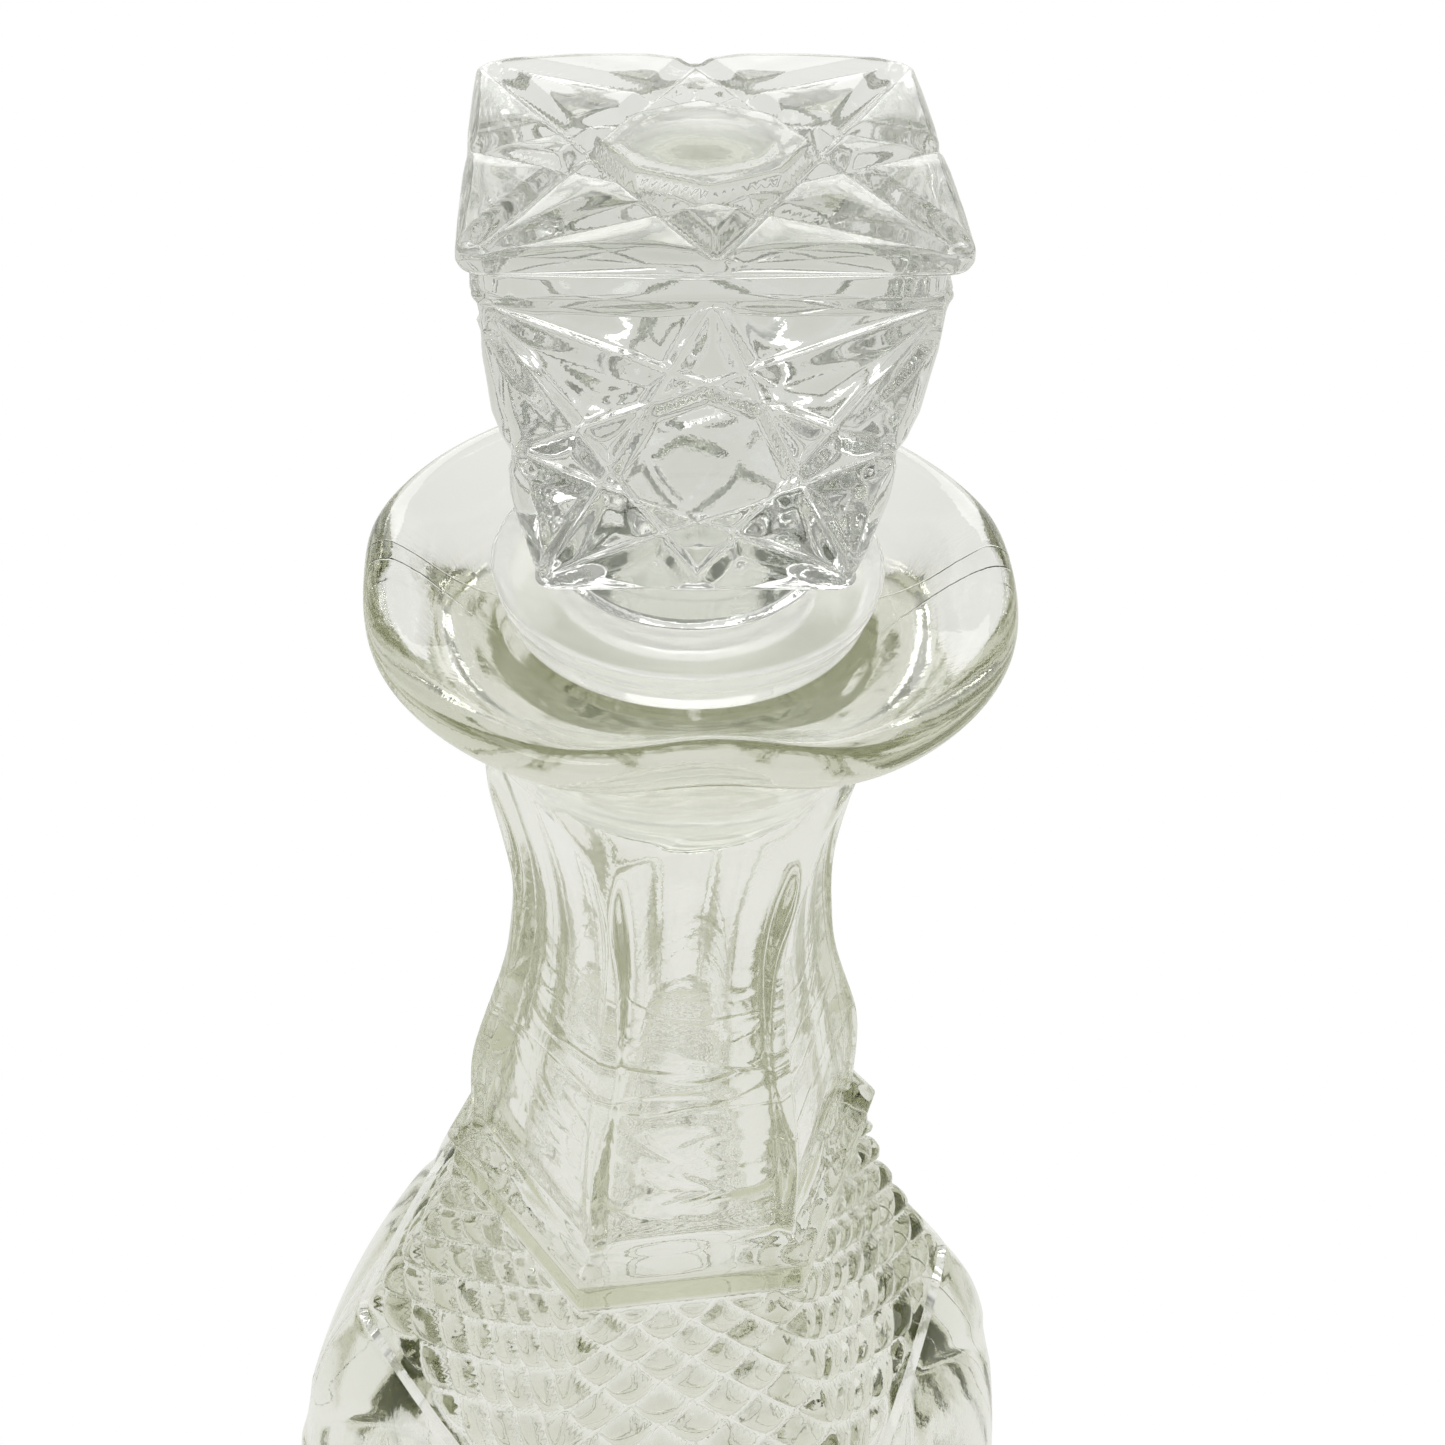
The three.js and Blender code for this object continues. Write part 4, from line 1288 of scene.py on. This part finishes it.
@dataclass
class Stopper:
    """The square block with a star on its top and sides, on a round collar and a ground peg."""

    finish: GlassFinish
    low: float
    high: float
    seat: float
    columns: int = 96
    top_width: float = 0.051
    bottom_width: float = 0.0372
    block_height: float = 0.0456
    corner: float = 0.0032
    foot_bevel: float = 0.0006
    rim_height: float = 0.0032
    rim_rounding: float = 0.0014
    band_height: float = 0.0036
    band_recess: float = 0.0011
    collar_radius: float = 0.017
    peg_radius: float = 0.013
    peg_rounding: float = 0.0025
    twist: float = math.radians(-7.0)
    groove_depth: float = 0.0016
    groove_half_width: float = 0.0016
    pad_height: float = 0.0004
    pad_reach: float = 0.0052
    bevel_width: float = 0.0012
    table_height: float = 0.0003
    lens_radius: float = 0.009
    lens_depth: float = -0.0006

    @property
    def slope(self) -> float:
        """Length along a side of the block over its height."""
        return math.hypot(1.0, (self.top_width - self.bottom_width) / 2 / self.block_height)

    @property
    def block_low(self) -> float:
        """Height of the block's underside."""
        return self.high - self.block_height

    @property
    def panel_high(self) -> float:
        """Height of the upper edge of the side stars."""
        return self.high - self.rim_height - self.band_height

    def taper(self, height: np.ndarray | float) -> np.ndarray | float:
        """Half the block's plain width at a height."""
        share = (height - self.block_low) / self.block_height
        return lerp(self.bottom_width, self.top_width, share) / 2

    def square_loop(self, half: float, corner: float) -> tuple[np.ndarray, np.ndarray]:
        """A rounded square of points and their outward directions.

        Args:
            half: half its width.
            corner: radius of its corners.

        Returns:
            (points, outwards), each with two numbers a row, starting at the -X -Y corner.
        """
        run = half - corner + corner * math.pi / 4
        along = np.linspace(-1.0, 1.0, self.columns + 1)[:-1] * run
        turn = np.clip((np.abs(along) - (half - corner)) / corner, 0.0, None)
        flat = turn <= 0.0
        x = np.where(flat, along, np.sign(along) * (half - corner + corner * np.sin(turn)))
        y = -np.where(flat, half, half - corner + corner * np.cos(turn))
        out_x = np.where(flat, 0.0, np.sign(along) * np.sin(turn))
        out_y = -np.where(flat, 1.0, np.cos(turn))
        points, outwards = [], []
        for side in range(4):
            c, s = math.cos(side * math.pi / 2), math.sin(side * math.pi / 2)
            points.append(np.stack([c * x - s * y, s * x + c * y], 1))
            outwards.append(np.stack([c * out_x - s * out_y, s * out_x + c * out_y], 1))
        return np.concatenate(points), np.concatenate(outwards)

    @staticmethod
    def star(x: np.ndarray, y: np.ndarray, corners: list[tuple[float, float]]) -> tuple:
        """Where points lie in an eight-pointed star drawn in a four-cornered panel.

        Args:
            x: places across the panel.
            y: places up the panel.
            corners: the panel's corners in turn.

        Returns:
            (distance to the nearest groove, distance from the middle, 1 on the middle octagon).
        """
        marks = []
        for index, corner in enumerate(corners):
            after = corners[(index + 1) % 4]
            marks += [np.array(corner), (np.array(corner) + np.array(after)) / 2]
        centre = sum(np.array(corner) for corner in corners) / 4
        near = np.full(x.shape, 1.0)
        inside = np.ones(x.shape)
        for index, start in enumerate(marks):
            end = marks[(index + 3) % 8]
            along = (end - start) / np.linalg.norm(end - start)
            side = along[0] * (y - start[1]) - along[1] * (x - start[0])
            home = along[0] * (centre[1] - start[1]) - along[1] * (centre[0] - start[0])
            near = np.minimum(near, np.abs(side))
            inside = np.where(side * home < 0.0, 0.0, inside)
        return near, np.hypot(x - centre[0], y - centre[1]), inside

    def side_levels(self) -> list[tuple[float, float, float]]:
        """Walks up the block's sides.

        Returns:
            Rows of (height, half width, share of the side star, or 2 on the rounded rim).
        """
        low, top = self.block_low, self.high
        rim_low = top - self.rim_height
        recess = self.taper(self.panel_high) - self.band_recess
        levels = []
        soft = self.foot_bevel
        for half, height in arc((self.taper(low) - soft, low + soft), soft, -80.0, -5.0, 4):
            levels.append((height, half, 0.0))
        for height in np.linspace(low + soft * 1.2, self.panel_high, 86):
            levels.append((height, self.taper(height), 1.0))
        for share in (0.35, 0.7, 1.0):
            height = self.panel_high + 0.0009 * share
            levels.append((height, lerp(self.taper(self.panel_high), recess, smoothstep(share, 0, 1)), 0.0))
        for height in np.linspace(self.panel_high + 0.0014, rim_low - 0.0003, 5):
            levels.append((height, recess, 0.0))
        half = self.top_width / 2
        for share in (0.3, 0.65, 1.0):
            levels.append((rim_low + 0.0007 * share, lerp(recess, half - 0.0002, share**0.6), 0.0))
        levels.append((lerp(rim_low + 0.0007, top - self.rim_rounding, 0.5), half, 0.0))
        centre = (half - self.rim_rounding, top - self.rim_rounding)
        for radius, height in arc(centre, self.rim_rounding, 0.0, 90.0, 6):
            levels.append((height, radius, 2.0))
        return levels

    def top_corners(self) -> list[tuple[float, float]]:
        """The corners of the star on the top."""
        half = self.top_width / 2 - self.rim_rounding * 0.6
        return [(-half, -half), (half, -half), (half, half), (-half, half)]

    def side_corners(self) -> list[tuple[float, float]]:
        """Corners of the star on a side.

        Returns:
            Four points, their heights measured up the slope.
        """
        low, high = self.block_low + 0.001, self.panel_high
        slope = self.slope
        inset = self.corner * 0.3
        narrow, wide = self.taper(low) - inset, self.taper(high) - inset
        return [
            (-narrow, low * slope), (narrow, low * slope),
            (wide, high * slope), (-wide, high * slope),
        ]

    def build(self, effects: Effects) -> bpy.types.Object:
        """Builds and dresses the stopper.

        Args:
            effects: the shared shader groups.

        Returns:
            The finished object.
        """
        skin = Skin()
        loops = self._peg(skin)
        loops += self._sides(skin)
        for lower, upper in zip(loops, loops[1:]):
            skin.join(lower, upper)
        self._top(skin, loops[-1])
        piece = skin.piece("stopper_starred")
        self._turn(piece)
        return pressed_by(
            piece,
            Reliefs.stopper(),
            {
                "Groove Depth": self.groove_depth,
                "Groove Half Width": self.groove_half_width,
                "Pad Height": self.pad_height,
                "Pad Reach": self.pad_reach,
                "Bevel Width": self.bevel_width,
                "Table Height": self.table_height,
                "Lens Radius": self.lens_radius,
                "Lens Depth": self.lens_depth,
                "Finish": self.finish.make(effects),
            },
        )

    def _peg(self, skin: Skin) -> list[np.ndarray]:
        """Adds the peg and the collar, from the middle of the peg's end up.

        Args:
            skin: the surface to add to.

        Returns:
            Their loops in order.
        """
        count = self.columns * 2
        angle = np.arange(count) * 2 * math.pi / count - math.pi / 4
        around = np.stack([np.sin(angle), -np.cos(angle), np.zeros(count)], 1)
        soft = self.peg_rounding
        outline = [(self.peg_radius * share, self.low) for share in (0.15, 0.45, 0.7)]
        outline += arc((self.peg_radius - soft, self.low + soft), soft, -90.0, 0.0, 6)
        outline += [(self.peg_radius, z) for z in np.linspace(self.low + 0.006, self.seat - 0.0004, 10)]
        outline += [(self.peg_radius + 0.0004, self.seat)]
        ledge = np.linspace(self.peg_radius + 0.0016, self.collar_radius - 0.001, 3)
        outline += [(radius, self.seat) for radius in ledge]
        collar = [
            (self.seat + 0.0004, self.collar_radius - 0.0002),
            (self.seat + 0.0012, self.collar_radius),
            (self.seat + 0.0030, self.collar_radius - 0.0006),
            (self.seat + 0.0050, self.collar_radius - 0.0013),
            (self.block_low - 0.0006, self.collar_radius - 0.0009),
            (self.block_low, self.collar_radius - 0.0002),
        ]
        for height in np.linspace(collar[0][0], self.block_low - 0.0001, 14):
            outline.append((float(smooth_through(collar, height)), height))
        loops = []
        for radius, height in outline:
            points = around * radius
            points[:, 2] = height
            loops.append(skin.place(points, inward=-around))
        pole = skin.place(np.array([[0.0, 0.0, self.low]]))
        skin.close(loops[0], int(pole[0]), rising=False)
        return loops

    def _sides(self, skin: Skin) -> list[np.ndarray]:
        """Adds the underside and the four sides of the block.

        Args:
            skin: the surface to add to.

        Returns:
            Their loops in order.
        """
        loops = []
        levels = self.side_levels()
        first = levels[0][1]
        square, _ = self.square_loop(first, self.corner * first / (self.top_width / 2))
        angle = np.arctan2(square[:, 1], square[:, 0])
        circle = np.stack([np.cos(angle), np.sin(angle)], 1) * (self.collar_radius + 0.0003)
        for share in (0.0, 0.35, 0.7):
            flat = circle + (square - circle) * share
            points = np.column_stack([flat, np.full(len(flat), self.block_low)])
            loops.append(skin.place(points, inward=(0.0, 0.0, 1.0)))
        for height, half, kind in levels:
            square, outwards = self.square_loop(half, self.corner * half / (self.top_width / 2))
            points = np.column_stack([square, np.full(len(square), height)])
            side = np.repeat(np.arange(4), self.columns)
            round_share = np.min(np.abs(outwards), axis=1) * math.sqrt(2.0)
            fade = 1.0 - 0.7 * smoothstep(round_share, 0.05, 0.95)
            turned = np.exp(-1j * side * math.pi / 2) * (square[:, 0] + 1j * square[:, 1])
            if kind == 2.0:
                near, middle, table = self.star(square[:, 0], square[:, 1], self.top_corners())
                lift = max(height - (self.high - self.rim_rounding), 0.0) / self.rim_rounding
                inward = np.column_stack([-outwards * (1.0 - lift), np.full(len(square), -lift)])
                star = fade * lerp(0.3, 1.0, lift**2)
            else:
                up = np.full(len(square), height * self.slope)
                near, middle, table = self.star(turned.real, up, self.side_corners())
                inward = np.column_stack([-outwards, np.zeros(len(square))])
                star = kind * fade
            loops.append(
                skin.place(points, near=near, middle=middle, table=table, star=star, inward=inward)
            )
        return loops

    def _top(self, skin: Skin, rim: np.ndarray) -> None:
        """Adds the top as a grid inside its rim.

        Args:
            skin: the surface to add to.
            rim: the loop round its edge.
        """
        count = self.columns
        half = self.top_width / 2 - self.rim_rounding
        corner = self.corner * half / (self.top_width / 2)
        border, _ = self.square_loop(half, corner)
        spread = np.linspace(-1.0, 1.0, count + 1)
        grid = np.zeros((count + 1, count + 1), int)
        order = [(k, 0) for k in range(count)] + [(count, k) for k in range(count)]
        order += [(count - k, count) for k in range(count)] + [(0, count - k) for k in range(count)]
        for index, (i, j) in zip(rim, order):
            grid[i, j] = index
        u, v = np.meshgrid(spread[1:-1], spread[1:-1], indexing="ij")
        reach = np.maximum(np.abs(u), np.abs(v))
        safe = np.where(reach > 0, reach, 1.0)
        edge_u, edge_v = u / safe, v / safe
        place = np.zeros(u.shape)
        low = edge_v <= -1 + 1e-9
        right = (edge_u >= 1 - 1e-9) & ~low
        high = (edge_v >= 1 - 1e-9) & ~right & ~low
        quarters = (low, right, high, ~(low | right | high))
        runs = (edge_u + 1, edge_v + 1, 1 - edge_u, 1 - edge_v)
        for number, (there, run) in enumerate(zip(quarters, runs)):
            place[there] = run[there] / 2 * count + number * count
        whole = np.arange(4 * count + 1)
        closed = np.vstack([border, border[:1]])
        x = np.interp(place, whole, closed[:, 0]) * reach
        y = np.interp(place, whole, closed[:, 1]) * reach
        flat_x, flat_y = x.ravel(), y.ravel()
        near, middle, table = self.star(flat_x, flat_y, self.top_corners())
        points = np.column_stack([flat_x, flat_y, np.full(flat_x.shape, self.high)])
        made = skin.place(
            points, near=near, middle=middle, table=table, star=1.0, inward=(0.0, 0.0, -1.0)
        )
        grid[1:-1, 1:-1] = made.reshape(count - 1, count - 1)
        a, b = grid[:-1, :-1].ravel(), grid[1:, :-1].ravel()
        c, d = grid[1:, 1:].ravel(), grid[:-1, 1:].ravel()
        skin.faces.extend(map(tuple, np.stack([a, b, c, d], 1).tolist()))

    def _turn(self, piece: bpy.types.Object) -> None:
        """Turns the mesh by the stopper's own twist in the bottle.

        Args:
            piece: the stopper, before its pattern is pressed in.
        """
        mesh = piece.data
        points = np.zeros(len(mesh.vertices) * 3, np.float32)
        mesh.vertices.foreach_get("co", points)
        ways = np.zeros_like(points)
        mesh.attributes["inward"].data.foreach_get("vector", ways)
        c, s = math.cos(self.twist), math.sin(self.twist)
        for values in (points, ways):
            table = values.reshape(-1, 3)
            x, y = table[:, 0].copy(), table[:, 1].copy()
            table[:, 0], table[:, 1] = c * x - s * y, s * x + c * y
        mesh.vertices.foreach_set("co", points)
        mesh.attributes["inward"].data.foreach_set("vector", ways)


# ---------------------------------------------------------------- studio


@dataclass
class Studio:
    """Pale floor, soft light and the camera."""

    top: float
    bearing: float = math.radians(10.75)
    distance: float = 0.18921
    above_top: float = 0.08102
    pitch: float = math.radians(40.71)
    turn: float = math.radians(-7.0)
    lens: float = 45.82
    shift: float = 0.0926
    floor_light: float = 0.85
    floor_tone: tuple[float, float, float] = (1.0, 1.0, 0.965)
    wall_light: tuple[float, float] = (0.88, 0.34)
    ceiling_light: float = 0.4
    world_tone: tuple[float, float, float] = (1.0, 1.0, 0.985)
    aim_share: float = 0.7
    bounces: int = 48

    def build(self) -> None:
        """Adds everything round the object."""
        self._floor()
        self._world()
        self._lights()
        self._camera()
        scene = bpy.context.scene
        scene.view_settings.view_transform = "Standard"
        scene.cycles.max_bounces = self.bounces
        scene.cycles.transmission_bounces = self.bounces
        scene.cycles.glossy_bounces = self.bounces
        scene.cycles.transparent_max_bounces = 16
        scene.cycles.caustics_refractive = True
        scene.cycles.caustics_reflective = True
        scene.cycles.blur_glossy = 0.0
        scene.cycles.use_denoising = True

    def _floor(self) -> None:
        """Adds a wide pale floor with softly raised edges."""
        count, reach = 40, 3.0
        spread = np.linspace(-reach, reach, count + 1)
        x, y = np.meshgrid(spread, spread)
        far = np.hypot(x, y)
        z = 0.25 * smoothstep(far, 2.0, 4.2) ** 2
        points = np.column_stack([x.ravel(), y.ravel(), z.ravel() - 0.0002])
        faces = []
        for row in range(count):
            for column in range(count):
                a = row * (count + 1) + column
                faces.append((a, a + 1, a + count + 2, a + count + 1))
        mesh = bpy.data.meshes.new("floor")
        mesh.from_pydata(points.tolist(), [], faces)
        mesh.shade_smooth()
        floor = new_object("floor", mesh)
        material, tree = new_material("pale_floor")
        seen = tree.add("ShaderNodeLightPath").outputs["Is Camera Ray"]
        strength = tree.math("MULTIPLY_ADD", seen, 1.0 - self.floor_light, self.floor_light)
        tone = tree.add(
            "ShaderNodeMix",
            {0: seen, 6: (*self.floor_tone, 1.0), 7: (1.0, 1.0, 1.0, 1.0)},
            data_type="RGBA",
        )
        glow = tree.add("ShaderNodeEmission", {"Color": tone.outputs[2], "Strength": strength})
        tree.add("ShaderNodeOutputMaterial", {"Surface": glow.outputs[0]})
        mesh.materials.append(material)

    def _world(self) -> None:
        """Sets a soft surrounding light, paler low down and above, seen as plain white."""
        world = bpy.data.worlds.new("studio")
        bpy.context.scene.world = world
        world.use_nodes = True
        world.node_tree.nodes.clear()
        tree = Tree(world.node_tree)
        way = tree.add("ShaderNodeTexCoord").outputs["Generated"]
        height = tree.add("ShaderNodeSeparateXYZ", {0: way}).outputs[2]
        wall = tree.ramp(height, 0.02, 0.45, self.wall_light)
        ceiling = tree.ramp(height, 0.6, 0.95, (0.0, self.ceiling_light))
        seen = tree.add("ShaderNodeLightPath").outputs["Is Camera Ray"]
        light = tree.math("MAXIMUM", tree.math("ADD", wall, ceiling), seen)
        back = tree.add("ShaderNodeBackground", {"Color": (*self.world_tone, 1.0), "Strength": light})
        tree.add("ShaderNodeOutputWorld", {"Surface": back.outputs[0]})

    def _lights(self) -> None:
        """Adds three soft boxes."""
        boxes = [
            ("key", (-0.9, -0.3, 1.3), 0.6, 3.0),
            ("fill", (1.2, -0.5, 0.7), 0.5, 1.6),
            ("back", (0.2, 1.4, 0.9), 0.9, 4.0),
        ]
        for name, place, size, power in boxes:
            light = bpy.data.lights.new(name, "AREA")
            light.shape = "SQUARE"
            light.size = size
            light.energy = power
            lamp = new_object(name, light)
            lamp.location = place
            aim = Vector((0.0, 0.0, self.top * self.aim_share)) - lamp.location
            lamp.rotation_euler = aim.to_track_quat("-Z", "Y").to_euler()

    def _camera(self) -> None:
        """Adds the camera."""
        data = bpy.data.cameras.new("camera")
        data.sensor_width = 36.0
        data.lens = self.lens
        data.shift_x = self.shift
        data.clip_start = 0.01
        camera = new_object("camera", data)
        camera.location = (
            -self.distance * math.sin(self.bearing),
            -self.distance * math.cos(self.bearing),
            self.top + self.above_top,
        )
        camera.rotation_euler = (math.pi / 2 - self.pitch, 0.0, self.turn)
        bpy.context.scene.camera = camera


# ---------------------------------------------------------------- assembly


@dataclass(frozen=True)
class Place:
    """Which CAD node a piece stands for, the body it moves with and its slot."""

    node: str
    body: str
    slot: Slot


def settle(piece: bpy.types.Object, place: Place) -> None:
    """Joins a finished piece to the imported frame.

    Args:
        piece: the piece.
        place: its node, body and slot.
    """
    piece.visible_shadow = False
    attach(piece, place.body)
    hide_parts(place.node)
    triangles = sum(len(face.vertices) - 2 for face in piece.data.polygons)
    LOG.info("%s: %d triangles, rides on %s", piece.name, triangles, place.body)


def main() -> None:
    """Builds the decanter's pieces in order, then the studio round them."""
    logging.basicConfig(level=logging.INFO, format="%(message)s")
    effects = Effects()
    seal_low, seal_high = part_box("seal_sleeve")
    stopper_low, stopper_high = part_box("stopper")
    bottle = Bottle(
        GlassFinish("bottle_glass", chill_from=0.178, chill_to=0.228, chill_bump=0.00045,
                    seam_turn=math.radians(8.0), seam_bump=0.0002)
    )
    seal = Seal(SealFinish("seal_plastic"), seal_low.z, seal_high.z)
    stopper = Stopper(
        GlassFinish("stopper_glass", tint=(0.6, 0.62, 0.56), depth_of_tint=14.0,
                    # pale painted shade on the stopper's star pads
                    pad_shade_tone=(0.91, 0.925, 0.89)),
        stopper_low.z, stopper_high.z, seal_high.z + REST_GAP,
    )
    settle(bottle.build(effects), Place("bottle", "bottle", Slot.BOTTLE))
    settle(seal.build(effects), Place("seal_sleeve", "seal", Slot.SEAL))
    settle(stopper.build(effects), Place("stopper", "stopper", Slot.STOPPER))
    Studio(stopper_high.z).build()


if __name__ == "__main__":
    main()
